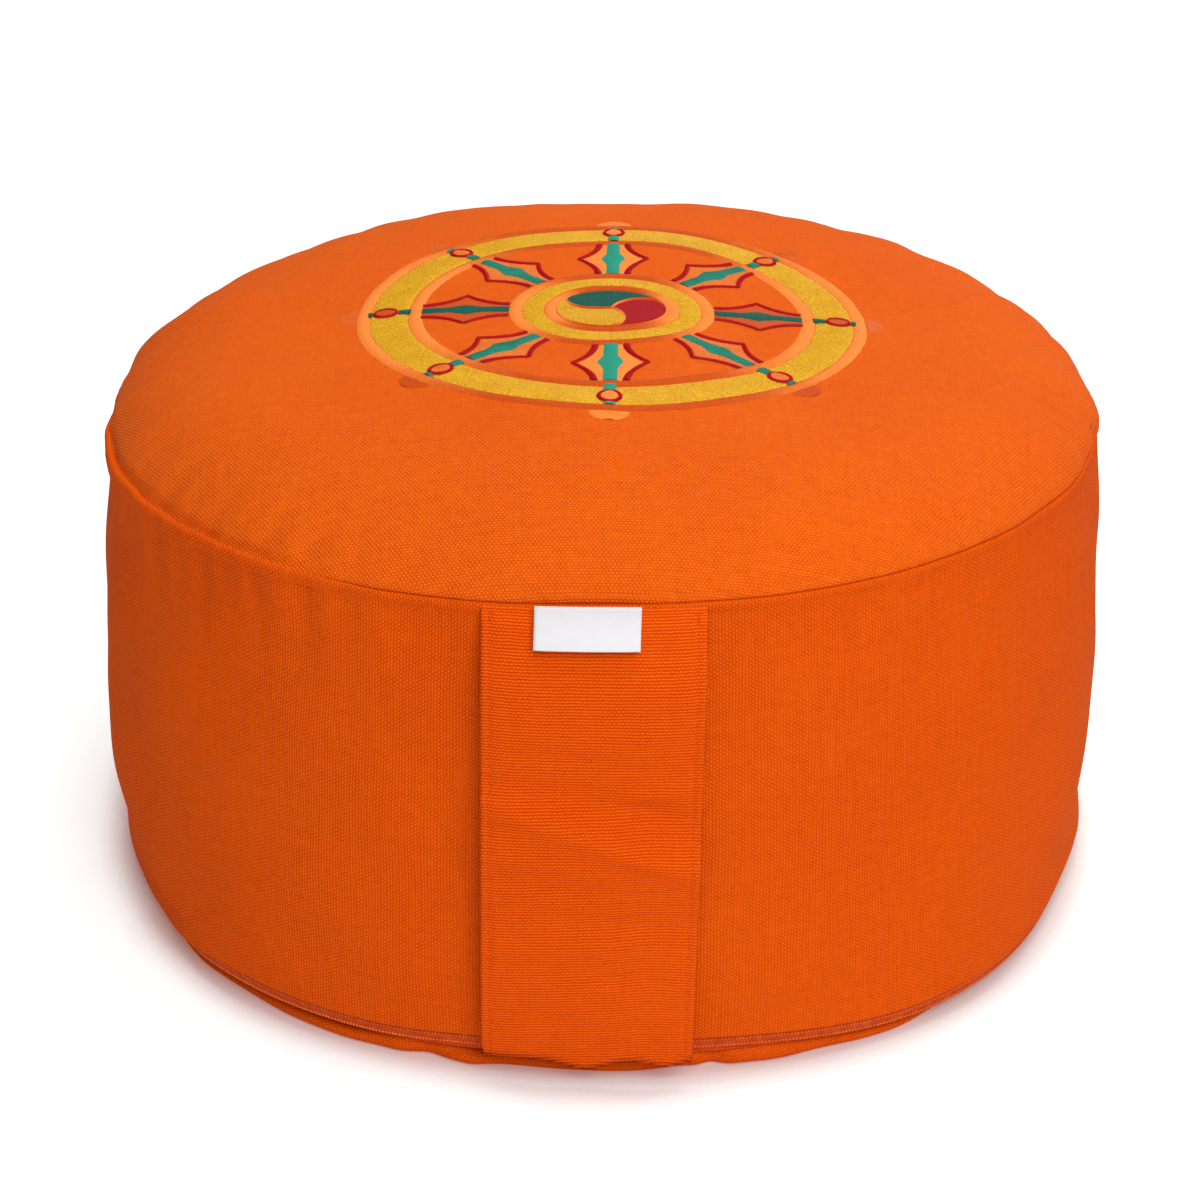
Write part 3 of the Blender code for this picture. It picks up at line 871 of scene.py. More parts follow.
def handle_rows():
    """The closed strip, as rings across it, one after another down its length."""
    half = HANDLE_WIDTH / 2.0
    spread = np.sin(np.linspace(-math.pi / 2.0, math.pi / 2.0, HANDLE_ACROSS))
    flat = np.linspace(-1.0, 1.0, HANDLE_ACROSS)
    across = 0.55 * flat + 0.45 * spread
    rows = []
    for share in np.linspace(0.0, 1.0, HANDLE_DOWN):
        middle = HANDLE_SHIFT + HANDLE_LEAN * share
        front_x = middle + across * half
        from_side = half - np.abs(front_x - middle)
        rounding = HANDLE_EDGE * (1.0 - dome(1.0 - np.clip(from_side / HANDLE_EDGE, 0.0, 1.0)))
        tucked = (HANDLE_THICK + HANDLE_SEWN_IN) * (1.0 - blend(0.0, HANDLE_SEWN_SHARE, share))
        front = handle_front(front_x, share) - np.maximum(rounding, tucked)
        wrinkle = HANDLE_INNER_WRINKLE * handle_wrinkle(front_x, share)
        back = handle_back(front_x, share) + wrinkle + rounding * 0.98
        x = np.concatenate([front_x, front_x[-2:0:-1]])
        y = -np.concatenate([front, back[-2:0:-1]])
        behind = np.concatenate([np.zeros(HANDLE_ACROSS), np.ones(HANDLE_ACROSS - 2)])
        z = handle_height(x, share) - HANDLE_TURN_IN * behind * blend(0.9, 1.0, share)
        rows.append(np.stack([x, y, z], axis=-1))
    return np.stack(rows)


def capped(name, points, threads):
    """An object from rings of points that run down a strip, with both of its ends closed."""
    bm = bmesh.new()
    mesh = cloth_mesh(name, points, threads)
    bm.from_mesh(mesh)
    ends = bmesh.ops.holes_fill(bm, edges=[edge for edge in bm.edges if edge.is_boundary])["faces"]
    bmesh.ops.triangulate(bm, faces=ends)
    bmesh.ops.recalc_face_normals(bm, faces=bm.faces)
    bm.to_mesh(mesh)
    bm.free()
    return new_object(name, mesh)


handle_points = handle_rows()
handle_down = closed_round(along(handle_points))
handle_threads = np.stack([closed_round(handle_points[:, :, 0]), handle_down], axis=-1)
handle = capped("carrying_handle", handle_points, handle_threads)
handle_canvas = canvas_finish("handle_canvas", HANDLE_ORANGE, HANDLE_PIT, 0.30, 0.42)
handle.data.materials.append(handle_canvas)
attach(handle, "root")
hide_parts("handle")


class Sewing:
    """Gathers the points and faces of many small threads, which end up as one mesh."""

    def __init__(self):
        self.points = []
        self.faces = []
        self.shine = []
        self.count = 0

    def add(self, grid, closed=False, shine=0.5):
        """Adds a grid of points. shine is 1 for threads that run from side to side; the finishes paint
        these lighter, as painted shine.
        """
        rows, columns = grid.shape[:2]
        self.points.append(grid.reshape(-1, 3))
        self.shine.append(np.broadcast_to(shine, (rows, columns)).reshape(-1))
        self.faces.append(grid_faces(rows, columns, closed)[2] + self.count)
        self.count += rows * columns

    def piece(self, name, material):
        """The finished object."""
        mesh = bpy.data.meshes.new(name)
        faces = np.concatenate(self.faces)
        mesh.from_pydata(np.concatenate(self.points).tolist(), [], faces.tolist())
        lit = np.concatenate(self.shine)[faces.ravel()].astype(np.float32)
        mesh.uv_layers.new(name="shine").uv.foreach_set("vector", np.repeat(lit, 2))
        mesh.shade_smooth()
        mesh.materials.append(material)
        return new_object(name, mesh)


def hem_stitches(sewing, side):
    """Stitches down one side, each a short rounded bar that dives into the cloth at both ends."""
    shares = np.linspace(0.0, 1.0, 6)
    arch = dome(2.0 * shares - 1.0)
    around = np.arange(6) / 6.0 * math.tau
    ring = np.stack([np.cos(around), -np.sin(around) * 0.7, np.zeros(6)], axis=-1) * HEM_STITCH_RADIUS
    for index in range(int(HEM_LINE / HEM_STITCH_PITCH)):
        start = (index + 0.5) * HEM_STITCH_PITCH - HEM_STITCH_LONG / 2.0
        share = HEM_START + (start + HEM_STITCH_LONG * shares) / HEM_DROP
        x = HANDLE_SHIFT + HANDLE_LEAN * share + side * (HANDLE_WIDTH / 2.0 - HEM_STITCH_INSET)
        y = -handle_front(x, share) - HEM_STITCH_OFF + (1.0 - arch) * HEM_STITCH_RADIUS * 1.6
        line = np.stack([x, y, handle_height(x, share)], axis=-1)
        sewing.add(line[:, None, :] + ring[None] * (0.35 + 0.65 * arch)[:, None, None], closed=True)


def thread_finish(name, colour, dark, sparkle=0.0, turning=0.0):
    """Glossy embroidery thread, uneven from stitch to stitch.

    sparkle adds speckles that stand in for glints: painted glints. turning paints the threads that run
    from side to side lighter and the others darker: painted shine, for how they catch the light.
    """
    material, tree, shader = new_finish(name, 0.60, 0.06)
    object_place = step(tree, "TexCoord", output=3)
    fine = noise(tree, object_place, 1700.0, 1.0)
    broad = noise(tree, object_place, 120.0, 2.0)
    lit = step(tree, "SeparateXYZ", step(tree, "UVMap", uv_map="shine"))
    tone = maths(tree, "MULTIPLY_ADD", broad, 0.3, 0.10)
    tone = maths(tree, "MULTIPLY_ADD", fine, 0.5 + sparkle, maths(tree, "SUBTRACT", tone, sparkle * 0.5))
    tone = maths(tree, "MULTIPLY_ADD", lit, turning, maths(tree, "SUBTRACT", tone, turning * 0.5))
    colour_along(tree, shader, tone, (0.20, dark), (0.80, colour))
    relief(tree, shader, fine, THREAD_RELIEF)
    return material


hem_sewing = Sewing()
for side in (-1.0, 1.0):
    hem_stitches(hem_sewing, side)
hem_thread = thread_finish("hem_thread", STITCH_ORANGE, HANDLE_PIT)
stitches = hem_sewing.piece("handle_stitches", hem_thread)
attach(stitches, "root")


# ------------------------------------------------------------------ Label
# A bare white satin ribbon, folded double and sewn into the top seam over the handle, off its middle.
# Its folded lower edge stands a little proud and throws a soft shadow.

LABEL_WIDTH = 0.0298
LABEL_LENGTH = 0.0101
LABEL_SEWN_IN = 0.0008      # both ends reach up into the seam
LABEL_SHIFT = -0.0033
LABEL_LEAN = 0.0003         # its lower edge lies further towards -X
LABEL_STAND = 0.0006        # off the handle at the seam
LABEL_LIFT = 0.0018         # and more at its lower edge
LABEL_BOW = 0.0004          # its middle stands out and its lower corners droop
LABEL_CLOTH = 0.00034
LABEL_FOLD = 0.00040        # radius of the folded edge
LABEL_ACROSS = 30
LABEL_DOWN = 16
LABEL_WHITE = (0.69, 0.66, 0.69)
# LABEL_GREY: the darker end, painted shade in the ribs' grooves and uneven tone
LABEL_GREY = (0.53, 0.51, 0.53)
LABEL_RIB = 0.00028
LABEL_RELIEF = 0.00003


def label_rows():
    """The ribbon's middle line: down in front, round the fold and up behind."""
    straight = np.linspace(-LABEL_SEWN_IN, LABEL_LENGTH - LABEL_FOLD, LABEL_DOWN)
    bend = np.linspace(0.3, 2.84, 7)
    layer = np.ones(LABEL_DOWN)
    down = np.concatenate([straight, straight[-1] + LABEL_FOLD * np.sin(bend), straight[::-1]])
    out = np.concatenate([layer, np.cos(bend), -layer]) * LABEL_FOLD
    across = np.linspace(-0.5, 0.5, LABEL_ACROSS)
    rows = []
    for low, forward in zip(down, out):
        x = LABEL_SHIFT + LABEL_WIDTH * across - LABEL_LEAN * low / LABEL_LENGTH
        share = np.clip((low - HANDLE_TOP_INSET) / (seam_height(0.0) - HANDLE_BOTTOM), 0.0, 1.0)
        bow = LABEL_BOW * (low / LABEL_LENGTH) * (1.0 - (2.0 * across) ** 2)
        lift = LABEL_LIFT * (max(low, 0.0) / LABEL_LENGTH) ** 1.5
        stand = HANDLE_THICK + LABEL_STAND + LABEL_FOLD + lift
        y = -handle_back(x, share) - np.maximum(handle_wrinkle(x, share), 0.0) - stand - bow - forward
        z = seam_height(0.0) - low - LABEL_BOW * across ** 2 * low / LABEL_LENGTH
        rows.append(np.stack(np.broadcast_arrays(x, y, z), axis=-1))
    return np.stack(rows)


def satin_finish():
    """White satin ribbon: fine ribs across, and a soft gloss. Its colour runs from grey to white with
    the ribs, as painted shade in their grooves, and with random unevenness.
    """
    material, tree, shader = new_finish("label_satin", 0.50, 0.20, 0.10, LABEL_WHITE, 0.4)
    laid = step(tree, "UVMap", uv_map="threads")
    split = step(tree, "SeparateXYZ", laid)
    ribs = maths(tree, "COSINE", maths(tree, "MULTIPLY", split.node.outputs[1], math.tau / LABEL_RIB))
    threads = maths(tree, "COSINE", maths(tree, "MULTIPLY", split, math.tau / LABEL_RIB * 1.4))
    cloth = maths(tree, "MULTIPLY_ADD", ribs, 0.35, maths(tree, "MULTIPLY_ADD", threads, 0.12, 0.5))
    relief(tree, shader, cloth, LABEL_RELIEF)
    worn = noise(tree, laid, 260.0, 2.0)
    tone = maths(tree, "MULTIPLY_ADD", worn, 0.5, maths(tree, "MULTIPLY", cloth, 0.8))
    colour_along(tree, shader, tone, (0.0, LABEL_GREY), (0.55, LABEL_WHITE))
    return material


label_points = label_rows()
label_threads = np.stack([label_points[:, :, 0], along(label_points)], axis=-1)
label_mesh = cloth_mesh("label_ribbon", label_points, label_threads, closed=False)
label_mesh.materials.append(satin_finish())
label = new_object("label_ribbon", label_mesh)
thickness = label.modifiers.new("ribbon thickness", "SOLIDIFY")
thickness.thickness = LABEL_CLOTH
thickness.offset = 0.0
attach(label, "root")
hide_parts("label")


# ------------------------------------------------------------------ Zip
# A closed zip in the slot of the bottom seam: a woven tape, and on it a smooth channel between two
# rows of small turns of the coil, the turns painted paler as painted highlight and the channel darker
# as painted shade. The CAD tape stays, as woven tape.

ZIP_HALF_ANGLE = 71.6
TOOTH_PITCH = 0.00110
TOOTH_LONG = 0.00078
TOOTH_WIDE = 0.00068
TOOTH_DEEP = 0.00075
TOOTH_LEAN = 0.00018
TOOTH_INSET = 0.0015        # middle of a turn behind the band's edge
ZIP_MIDDLE = 0.0074
ROW_OFF = 0.00107           # each row above or below the channel
CHAIN_HALF = 0.0019
CHAIN_DEEP = 0.0014
# COIL_ORANGE: the turns with painted highlight; COIL_SHADE: painted shade in the channel between them
COIL_ORANGE = (0.80, 0.150, 0.022)
COIL_SHADE = (0.44, 0.042, 0.003)
COIL_RELIEF = 0.00008
TAPE_ORANGE = (0.62, 0.070, 0.009)
TAPE_SHADE = (0.42, 0.038, 0.004)
TAPE_CORD = 0.0007
TAPE_RELIEF = 0.0001


CHAIN_SHAPE = (
    # the channel's outline, as shares: above its middle, in front of the turns' middle
    (1.0, -0.55), (0.98, -0.10), (0.85, 0.0), (0.72, -0.05), (0.45, -0.10), (0.28, 0.02),
    (0.0, 0.06), (-0.28, 0.02), (-0.45, -0.10), (-0.72, -0.05), (-0.85, 0.0), (-0.98, -0.10),
    (-1.0, -0.55), (0.0, -0.75),
)


def coil_finish():
    """Polyester coil: the turns are painted paler, as painted highlight, and the channel between them
    darker, as painted shade.
    """
    material, tree, shader = new_finish("coil", 0.6, 0.10)
    object_place = step(tree, "TexCoord", output=3)
    lit = step(tree, "SeparateXYZ", step(tree, "UVMap", uv_map="shine"))
    worn = noise(tree, object_place, 420.0, 2.0)
    tone = maths(tree, "MULTIPLY_ADD", worn, 0.5, maths(tree, "MULTIPLY", lit, 0.5))
    colour_along(tree, shader, tone, (0.20, COIL_SHADE), (0.80, COIL_ORANGE))
    relief(tree, shader, worn, COIL_RELIEF)
    return material


def tape_finish():
    """Woven tape: fine cords that run along it."""
    material, tree, shader = new_finish("zip_tape", 0.85, 0.06, 0.03, ORANGE_SHEEN, 0.5)
    object_place = step(tree, "TexCoord", output=3)
    split = step(tree, "SeparateXYZ", object_place)
    cords = maths(tree, "SINE", maths(tree, "MULTIPLY", split.node.outputs[2], math.tau / TAPE_CORD))
    worn = noise(tree, object_place, 500.0, 2.0)
    cloth = maths(tree, "MULTIPLY_ADD", cords, 0.3, worn)
    colour_along(tree, shader, cloth, (0.2, TAPE_SHADE), (0.9, TAPE_ORANGE))
    relief(tree, shader, cloth, TAPE_RELIEF)
    return material


def in_slot(angle, ahead, up):
    """Points near the middle of the zip, which follows the band's lower edge."""
    return place(angle, band_radius(angle, 1.0) - TOOTH_INSET + ahead, ZIP_MIDDLE + zip_rise(angle) + up)


coil = Sewing()
tooth_count = int(2.0 * math.radians(ZIP_HALF_ANGLE) * BAND_RADIUS / TOOTH_PITCH)
tall = np.linspace(-1.0, 1.0, 6)
around = np.arange(7) / 7.0 * math.tau
belly = np.sqrt(np.clip(1.03 - tall ** 2, 0.0, 1.0))
for index in range(tooth_count):
    angle = -ZIP_HALF_ANGLE + 2.0 * ZIP_HALF_ANGLE * (index + 0.5) / tooth_count
    for side in (-1.0, 1.0):
        sideways = (np.cos(around)[None, :] * TOOTH_WIDE / 2.0 * belly[:, None]
                    + side * tall[:, None] * TOOTH_LEAN + side * TOOTH_PITCH / 4.0)
        forward = np.sin(around)[None, :] * TOOTH_DEEP / 2.0 * belly[:, None]
        up = np.broadcast_to(tall[:, None] * TOOTH_LONG / 2.0 + side * ROW_OFF, sideways.shape)
        at = angle + np.degrees(sideways / BAND_RADIUS)
        # shine 1: the turns are painted paler, as painted highlight
        coil.add(in_slot(at, forward, up), closed=True, shine=1.0)
chain_angles = np.linspace(-ZIP_HALF_ANGLE, ZIP_HALF_ANGLE, 280)
chain = [in_slot(chain_angles, ahead * CHAIN_DEEP, up * CHAIN_HALF) for up, ahead in CHAIN_SHAPE]
# shine 0: the channel is painted darker, as painted shade
coil.add(np.stack(chain[::-1], axis=1), closed=True, shine=0.0)
zip_coil = coil.piece("zip_coil", coil_finish())
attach(zip_coil, "root")
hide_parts("zip_teeth")
tape_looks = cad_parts["zip_tape"].data.materials
tape_looks.clear()
tape_looks.append(tape_finish())


# ------------------------------------------------------------------ Embroidered wheel
# A traditional eight-spoked wheel in satin stitch: a gold rim and hub between paler borders, teal
# spokes in red outlines, a bead where each spoke meets the rim, and a three-part whirl in the middle.

WHEEL_X = 0.0035
WHEEL_Y = -0.0045
WHEEL_TURN = -0.65
THREAD = 0.00042            # between the threads of a satin stitch
RIM = (0.0668, 0.0798)      # inner and outer radius of the gold rim
RIM_BORDERS = ((0.0622, 0.0671), (0.0795, 0.0840))
HUB = (0.0221, 0.0297)
HUB_BORDERS = ((0.0183, 0.0224), (0.0294, 0.0340))
SPOKES = 8
SPOKE_ENDS = (0.0338, 0.0626)
SHAFT_HALF = 0.0023
LOZENGE_HALF = 0.0042
LOZENGE_LONG = 0.0055
CHEEK_HALF = 0.0050         # the red outline's distance from the spoke at both ends
CUSP_HALF = 0.0120          # and where it comes to a point, halfway along
OUTLINE_HALF = 0.00120      # half-width of the outline at both ends
OUTLINE_POINT = 0.00070     # and at the point
BEAD_RADIUS = 0.0746
BEAD_LONG = 0.0043
BEAD_WIDE = 0.0040
BEAD_LINE = 0.00075
BAR_HALF = 0.0019
BAR_PAST = 0.0006           # the teal bars reach this far past the gold
KNOB_HALF = 0.0070
KNOB_TALL = 0.0055
KNOB_GAP = 0.0001
# KNOB_SHINE: how much painted shine each knob gets, spoke by spoke
KNOB_SHINE = (1.0, 0.0, 0.35, 0.25, 0.8, 0.35, 0.35, 0.0)
WHIRL_RADIUS = 0.0181
WHIRL_START = -9.0
WHIRL_TURN = 120.0
WHIRL_BULGE = 0.62
WHIRL_LINE = 0.00045        # half-width of the pale lines round its parts
WHIRL_GAP = 0.0005          # between a part's threads and its line
STITCH_LONG = 0.0032        # in the gold and the whirl, between places where the needle goes through
STITCH_DIP = 0.00010
THREAD_VALLEY = 0.00015     # between one thread and the next
THREAD_SIDE = 0.00016       # how much lower a whirl's thread is at its sides
THREAD_RISE = 0.0012        # how far from its ends it reaches its full height
THREAD_POINTS = 0.0011      # between the points along it
WHEEL_SEED = 21
FIELD_LIFT = 0.00030        # how high each colour stands over the cloth, where it crosses others
GOLD_LIFT = 0.00050
BORDER_LIFT = 0.00062
OUTLINE_LIFT = 0.00065
WHIRL_LINE_LIFT = 0.00070
SHAFT_LIFT = 0.00075
BAR_LIFT = 0.00095
BEAD_LIFT = 0.00100
BEAD_LINE_LIFT = 0.00110
RAGGED = 0.00012            # how unevenly the threads end
BORDER_RAGGED = 0.00022
OUTLINE_RAGGED = 0.00008
BEAD_RAGGED = 0.00006
WHIRL_RAGGED = 0.00005
EDGE_DEPTH = -0.00010       # the ends of a thread, from the cloth's height
OUTLINE_EDGE = 0.00015      # and where the thread lies over others
SHAFT_EDGE = 0.00025
BAR_EDGE = 0.00045
BEAD_EDGE = 0.00050
GOLD = (0.73, 0.410, 0.020)
GOLD_DARK = (0.46, 0.17, 0.005)
APRICOT = (0.80, 0.215, 0.040)
APRICOT_DARK = (0.50, 0.062, 0.003)
TEAL = (0.022, 0.26, 0.18)
TEAL_DARK = (0.006, 0.075, 0.055)
RED = (0.42, 0.0015, 0.008)
RED_DARK = (0.27, 0.001, 0.004)
KNOB = (0.86, 0.20, 0.030)
KNOB_DARK = (0.50, 0.060, 0.004)

wheel_chance = random.Random(WHEEL_SEED)


def over_cloth(x, y):
    """Height of the top panel's cloth over a place on the plan."""
    reach = np.hypot(x, y)
    angle = np.degrees(np.arctan2(x, -y))
    share = reach / SEAM_RADIUS
    for _ in range(3):
        share = (reach - folds_at(TOP_LOBES, angle) * share ** 2 + bed(angle) * share ** 6) / SEAM_RADIUS
    return top_height(angle, share)


def on_wheel(x, y, lift):
    """Points of the wheel's own plan, laid on the cushion, lift above the cloth."""
    way = math.radians(WHEEL_TURN)
    across = WHEEL_X + x * math.cos(way) - y * math.sin(way)
    away = WHEEL_Y + x * math.sin(way) + y * math.cos(way)
    return np.stack([across, away, over_cloth(across, away) + lift], axis=-1)


def evenly(path, pitch):
    """The same line with a point at every pitch, and the side direction at each."""
    steps = np.linalg.norm(np.diff(path, axis=0), axis=1)
    length = np.concatenate([[0.0], np.cumsum(steps)])
    count = max(int(length[-1] / pitch), 2)
    wanted = np.linspace(0.0, length[-1], count)
    line = np.stack([np.interp(wanted, length, path[:, axis]) for axis in (0, 1)], axis=1)
    forward = np.gradient(line, axis=0)
    forward /= np.maximum(np.linalg.norm(forward, axis=1, keepdims=True), 1e-9)
    return line, np.stack([-forward[:, 1], forward[:, 0]], axis=1), wanted / length[-1]


def satin(sewing, path, half_width, lift, steps=5, dips=0.0, ragged=RAGGED, over=EDGE_DEPTH,
          shine=None):
    """Threads laid side by side across a path, whose half_width may be a function of the share along.

    Every other column of points lies in the valley between two threads. Wide fills dip where the
    needle goes through, which dips gives as a stitch length. over is the height of the edges.
    """
    line, side, share = evenly(path, THREAD / 2.0)
    half = half_width(share) if callable(half_width) else np.full(len(share), half_width)
    across = np.linspace(-1.0, 1.0, steps)
    count = len(line)
    crest = np.arange(count) % 2
    uneven = np.array([wheel_chance.uniform(-1.0, 1.0) for _ in range(count + 1)])
    pairs = (np.arange(count) // 2) * 2
    left = half + ragged * uneven[pairs]
    right = half + ragged * uneven[np.minimum(pairs + 1, count)]
    reach = np.where(across[None, :] < 0.0, left[:, None], right[:, None]) * across[None, :]
    x = line[:, 0:1] + side[:, 0:1] * reach
    y = line[:, 1:2] + side[:, 1:2] * reach
    arch = (dome(across) ** 0.7)[None, :]
    height = over + (lift - over) * arch * (1.0 + 0.10 * uneven[pairs])[:, None]
    height = height - THREAD_VALLEY * (1.0 - crest)[:, None] * arch
    if dips:
        offset = (pairs // 2 % 3) / 3.0
        phase = np.abs(reach) / dips + offset[:, None]
        height = height - STITCH_DIP * bell((phase + 0.5) % 1.0 - 0.5, 0.22) * arch
    # shine: how far each thread runs from side to side, which sets its painted shine
    sewing.add(on_wheel(x, y, height), shine=side[:, 0:1] ** 2 if shine is None else shine)


def ring_path(radius):
    """A full circle, its ends meeting."""
    return on_plan(np.linspace(0.0, 360.0, 400), radius)


def ring_satin(sewing, inner, outer, lift, **details):
    """A ring of threads that run from its inner to its outer edge."""
    satin(sewing, ring_path((inner + outer) / 2.0), (outer - inner) / 2.0, lift, **details)


def spoke_frame(index):
    """Directions along and across a spoke, on the plan."""
    way = 360.0 * index / SPOKES
    return on_plan(way, 1.0), on_plan(way + 90.0, 1.0)


def cheek(share):
    """Distance of the red outline from the middle of a spoke, at a share of the spoke's length."""
    return CHEEK_HALF + (CUSP_HALF - CHEEK_HALF) * (1.0 - np.abs(2.0 * share - 1.0)) ** 2


def shaft(share):
    """Half-width of the teal shaft, with a lozenge halfway along."""
    length = SPOKE_ENDS[1] - SPOKE_ENDS[0]
    from_middle = np.abs(share - 0.5) * length
    return SHAFT_HALF + (LOZENGE_HALF - SHAFT_HALF) * np.clip(1.0 - from_middle / LOZENGE_LONG, 0.0, 1.0)


gold = Sewing()
apricot = Sewing()
teal = Sewing()
red = Sewing()
knobs = Sewing()

ring_satin(gold, *RIM, GOLD_LIFT, steps=13, dips=STITCH_LONG)
ring_satin(gold, *HUB, GOLD_LIFT, steps=9, dips=STITCH_LONG)
for inner, outer in RIM_BORDERS + HUB_BORDERS:
    ring_satin(apricot, inner, outer, BORDER_LIFT, ragged=BORDER_RAGGED)

for index in range(SPOKES):
    forward, side = spoke_frame(index)
    inner, outer = SPOKE_ENDS
    line = np.stack([forward * inner, forward * outer])
    satin(apricot, line, lambda share: cheek(share) - OUTLINE_POINT, FIELD_LIFT, steps=9)
    satin(teal, line, shaft, SHAFT_LIFT, over=SHAFT_EDGE)
    to_cusp = np.linspace(0.0, 0.5, 21)
    for way in (-1.0, 1.0):
        for half, swell in ((to_cusp, (1.0, 0.0)), (to_cusp + 0.5, (0.0, 1.0))):
            at = inner + (outer - inner) * half
            edge = forward[None, :] * at[:, None] + side[None, :] * (way * cheek(half))[:, None]
            width = np.array(swell) * (OUTLINE_HALF - OUTLINE_POINT) + OUTLINE_POINT
            satin(red, edge, lambda share, width=width: width[0] + (width[1] - width[0]) * share,
                  OUTLINE_LIFT, steps=4, ragged=OUTLINE_RAGGED, over=OUTLINE_EDGE)
    middle = forward * BEAD_RADIUS
    inner_bar = (RIM[0] - BAR_PAST, BEAD_RADIUS - BEAD_LONG)
    outer_bar = (BEAD_RADIUS + BEAD_LONG, RIM[1] + BAR_PAST)
    for low, high in (inner_bar, outer_bar):
        satin(teal, np.stack([forward * low, forward * high]), BAR_HALF, BAR_LIFT, over=BAR_EDGE)
    spin = np.linspace(0.0, math.tau, 60)
    bead_long = BEAD_LONG - BEAD_LINE
    bead_wide = BEAD_WIDE - BEAD_LINE
    oval = (middle[None, :] + forward[None, :] * bead_long * np.cos(spin)[:, None]
            + side[None, :] * bead_wide * np.sin(spin)[:, None])
    satin(red, oval, BEAD_LINE, BEAD_LINE_LIFT, steps=4, ragged=BEAD_RAGGED, over=BEAD_EDGE)
    bead = np.stack([middle - forward * bead_long, middle + forward * bead_long])
    satin(apricot, bead, lambda share: bead_wide * np.maximum(dome(2.0 * share - 1.0), 0.02 ** 0.5),
          BEAD_LIFT, ragged=0.0, over=BEAD_EDGE)
    start = RIM_BORDERS[1][1] + KNOB_GAP
    knob = np.stack([forward * start, forward * (start + KNOB_TALL)])
    satin(knobs, knob, lambda share: KNOB_HALF * dome(0.96 * share), FIELD_LIFT, steps=7,
          shine=KNOB_SHINE[index])


# The whirl: three parts of a disc, each edge a half circle from the middle to the rim.

def whirl_edge(start):
    """A bulging line from the middle of the hub to the whirl's rim, in the direction start."""
    reach = np.sin(np.linspace(0.0, math.pi / 2.0, 24))
    return on_plan(start + WHIRL_BULGE * np.degrees(np.arccos(reach)), reach * WHIRL_RADIUS)


def fill(sewing, outline, lift, shrink):
    """Threads that run from front to back across an outline, each clipped by it."""
    ahead = np.roll(outline, -1, axis=0)
    for x in np.arange(outline[:, 0].min(), outline[:, 0].max(), THREAD):
        crosses = (outline[:, 0] <= x) != (ahead[:, 0] <= x)
        share = (x - outline[crosses, 0]) / (ahead[crosses, 0] - outline[crosses, 0])
        found = np.sort(outline[crosses, 1] + share * (ahead[crosses, 1] - outline[crosses, 1]))
        for low, high in zip(found[0::2], found[1::2]):
            if high - low > 2.0 * shrink:
                lay_thread(sewing, np.array([[x, low + shrink], [x, high - shrink]]), lift)


def lay_thread(sewing, ends, lift):
    """One thread, straight on the plan, rounded across and sunk into the cloth at both ends."""
    length = np.linalg.norm(ends[1] - ends[0])
    shares = np.linspace(0.0, 1.0, max(int(length / THREAD_POINTS), 2) + 2)
    line = ends[0] + (ends[1] - ends[0]) * shares[:, None]
    forward = (ends[1] - ends[0]) / length
    side = np.array([-forward[1], forward[0]]) * THREAD / 2.0
    from_end = np.minimum(shares, 1.0 - shares) * length
    arch = np.sqrt(np.clip(from_end / THREAD_RISE, 0.0, 1.0))
    phase = (shares * length / STITCH_LONG + wheel_chance.random()) % 1.0
    dip = STITCH_DIP * bell(phase - 0.5, 0.2)
    rows = []
    for way in (-1.0, 0.0, 1.0):
        height = EDGE_DEPTH + (lift - EDGE_DEPTH - dip - THREAD_SIDE * abs(way)) * arch
        rows.append(on_wheel(line[:, 0] + side[0] * way, line[:, 1] + side[1] * way, height))
    # shine: how far the thread runs from side to side, which sets its painted shine
    sewing.add(np.stack(rows, axis=1), shine=forward[0] ** 2)


for index, sewing in enumerate((red, teal, gold)):
    start = WHIRL_START + WHIRL_TURN * index
    first = whirl_edge(start)
    second = whirl_edge(start + WHIRL_TURN)
    rim = on_plan(np.linspace(start, start + WHIRL_TURN, 40), WHIRL_RADIUS)
    fill(sewing, np.concatenate([first, rim[1:-1], second[::-1]]), GOLD_LIFT, WHIRL_GAP)
    for line in (first, rim):
        satin(apricot, line, WHIRL_LINE, WHIRL_LINE_LIFT, steps=4, ragged=WHIRL_RAGGED)

# Each thread: its name, stitches, colour, darker end, painted glints and painted shine.
threads = (
    ("wheel_gold_thread", gold, GOLD, GOLD_DARK, 0.7, 0.0),
    ("wheel_apricot_thread", apricot, APRICOT, APRICOT_DARK, 0.0, 1.0),
    ("wheel_teal_thread", teal, TEAL, TEAL_DARK, 0.3, 0.7),
    ("wheel_red_thread", red, RED, RED_DARK, 0.0, 0.0),
    ("wheel_knob_thread", knobs, KNOB, KNOB_DARK, 0.0, 0.9),
)
for name, sewing, colour, dark, sparkle, turning in threads:
    embroidery = sewing.piece(name, thread_finish(name, colour, dark, sparkle, turning))
    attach(embroidery, "root")


# ------------------------------------------------------------------ Floor, light and camera
# A pale floor, a broad soft light from above, another from the front and a little to the right, a weak
# one from behind, and a camera that looks down at the cushion.

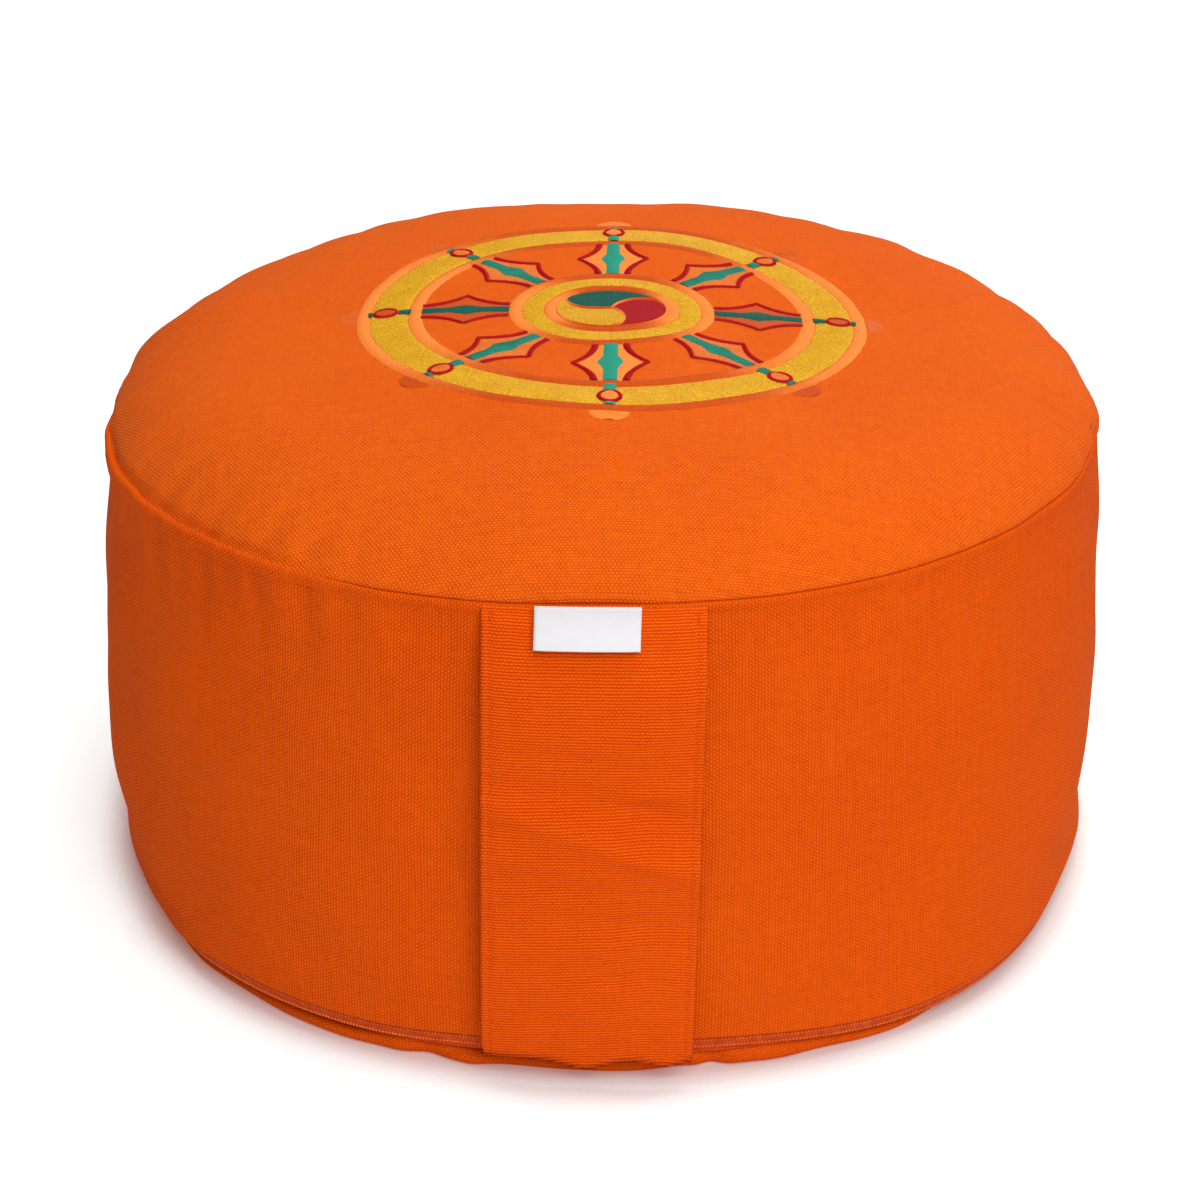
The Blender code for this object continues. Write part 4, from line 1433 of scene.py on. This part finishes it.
FLOOR_HALF = 6.0
FLOOR_WHITE = (0.56, 0.56, 0.56)
FLOOR_GLOW = 0.54           # the floor glows so that it stays white; right beside the cushion its glow is dimmed as painted shadow, along with the real shadows
FLOOR_GLOW_NEAR = 0.20
FLOOR_PAINTED_BOUNCE = (1.0, 0.34, 0.26)  # painted bounce light: right beside the cushion the floor's glow takes the cloth's orange
FLOOR_SHADE_REACH = 0.026
FLOOR_SHADED = (0.50, 0.74)  # how open a place is to the sky where the glow is least, as painted shadow, and where it is full
WHITE = (1.0, 1.0, 1.0)
WORLD_LIGHT = 0.08
FLOOR_LEVEL = -0.0002       # just under the cushion
CAMERA_DISTANCE = 0.8761
CAMERA_DOWN = 26.63
CAMERA_ROLL = 0.25
CAMERA_AIM = Vector((0.0, 0.0, 0.07515))
CAMERA_LENS = 75.0          # millimetres, as is its sensor
CAMERA_SENSOR = 36.0
CAMERA_NEAR = 0.01

floor_mesh = bpy.data.meshes.new("floor")
signs = ((-1.0, -1.0), (1.0, -1.0), (1.0, 1.0), (-1.0, 1.0))
corners = [(x * FLOOR_HALF, y * FLOOR_HALF, FLOOR_LEVEL) for x, y in signs]
floor_mesh.from_pydata(corners, [], [(0, 1, 2, 3)])
floor_material, floor_tree, floor_shader = new_finish("floor", 0.6, 0.2)
floor_shader.inputs["Base Color"].default_value = (*FLOOR_WHITE, 1.0)
# Painted shadow and bounce light: where the cushion is close, the floor's glow is dimmed and tinted
# orange.
open_sky = step(floor_tree, "AmbientOcclusion", None, FLOOR_SHADE_REACH, output=1, samples=8)
glow = step(floor_tree, "MapRange", open_sky, *FLOOR_SHADED, FLOOR_GLOW_NEAR, FLOOR_GLOW)
floor_tree.links.new(glow, floor_shader.inputs["Emission Strength"])
painted_bounce = ramp(floor_tree, open_sky, (FLOOR_SHADED[0], FLOOR_PAINTED_BOUNCE), (0.66, WHITE))
floor_tree.links.new(painted_bounce, floor_shader.inputs["Emission Color"])
floor_mesh.materials.append(floor_material)
new_object("floor", floor_mesh)

world = bpy.data.worlds.new("studio")
world.use_nodes = True
around_it = world.node_tree.nodes["Background"].inputs
around_it["Color"].default_value = (*WHITE, 1.0)
around_it["Strength"].default_value = WORLD_LIGHT
bpy.context.scene.world = world


def soft_light(name, at, aim, size, power, colour=WHITE):
    """A square light that points at aim."""
    light = bpy.data.lights.new(name, "AREA")
    light.shape = "SQUARE"
    light.size = size
    light.energy = power
    light.color = colour
    made = new_object(name, light)
    made.location = at
    made.rotation_euler = (Vector(aim) - Vector(at)).to_track_quat("-Z", "Y").to_euler()


soft_light("overhead", (0.25, 0.3, 2.3), (0.0, 0.0, 0.1), 1.6, 32.0, (1.0, 1.10, 1.0))
soft_light("front", (0.64, -1.9, 1.95), (0.0, 0.0, 0.1), 2.1, 70.0)
soft_light("back", (0.50, 1.60, 1.10), (0.0, 0.0, 0.15), 1.4, 12.0)

down = math.radians(CAMERA_DOWN)
roll = math.radians(CAMERA_ROLL)
back = Vector((0.0, -math.cos(down), math.sin(down)))
right = Vector((1.0, 0.0, 0.0))
up = back.cross(right)
rolled_right = right * math.cos(roll) + up * math.sin(roll)
rolled_up = up * math.cos(roll) - right * math.sin(roll)
camera_data = bpy.data.cameras.new("camera")
camera_data.lens = CAMERA_LENS
camera_data.sensor_width = CAMERA_SENSOR
camera_data.clip_start = CAMERA_NEAR
camera = new_object("camera", camera_data)
turned_to = Matrix((rolled_right, rolled_up, back)).transposed()
camera.matrix_world = Matrix.Translation(CAMERA_AIM + back * CAMERA_DISTANCE) @ turned_to.to_4x4()
bpy.context.scene.camera = camera
bpy.context.scene.view_settings.view_transform = "Standard"
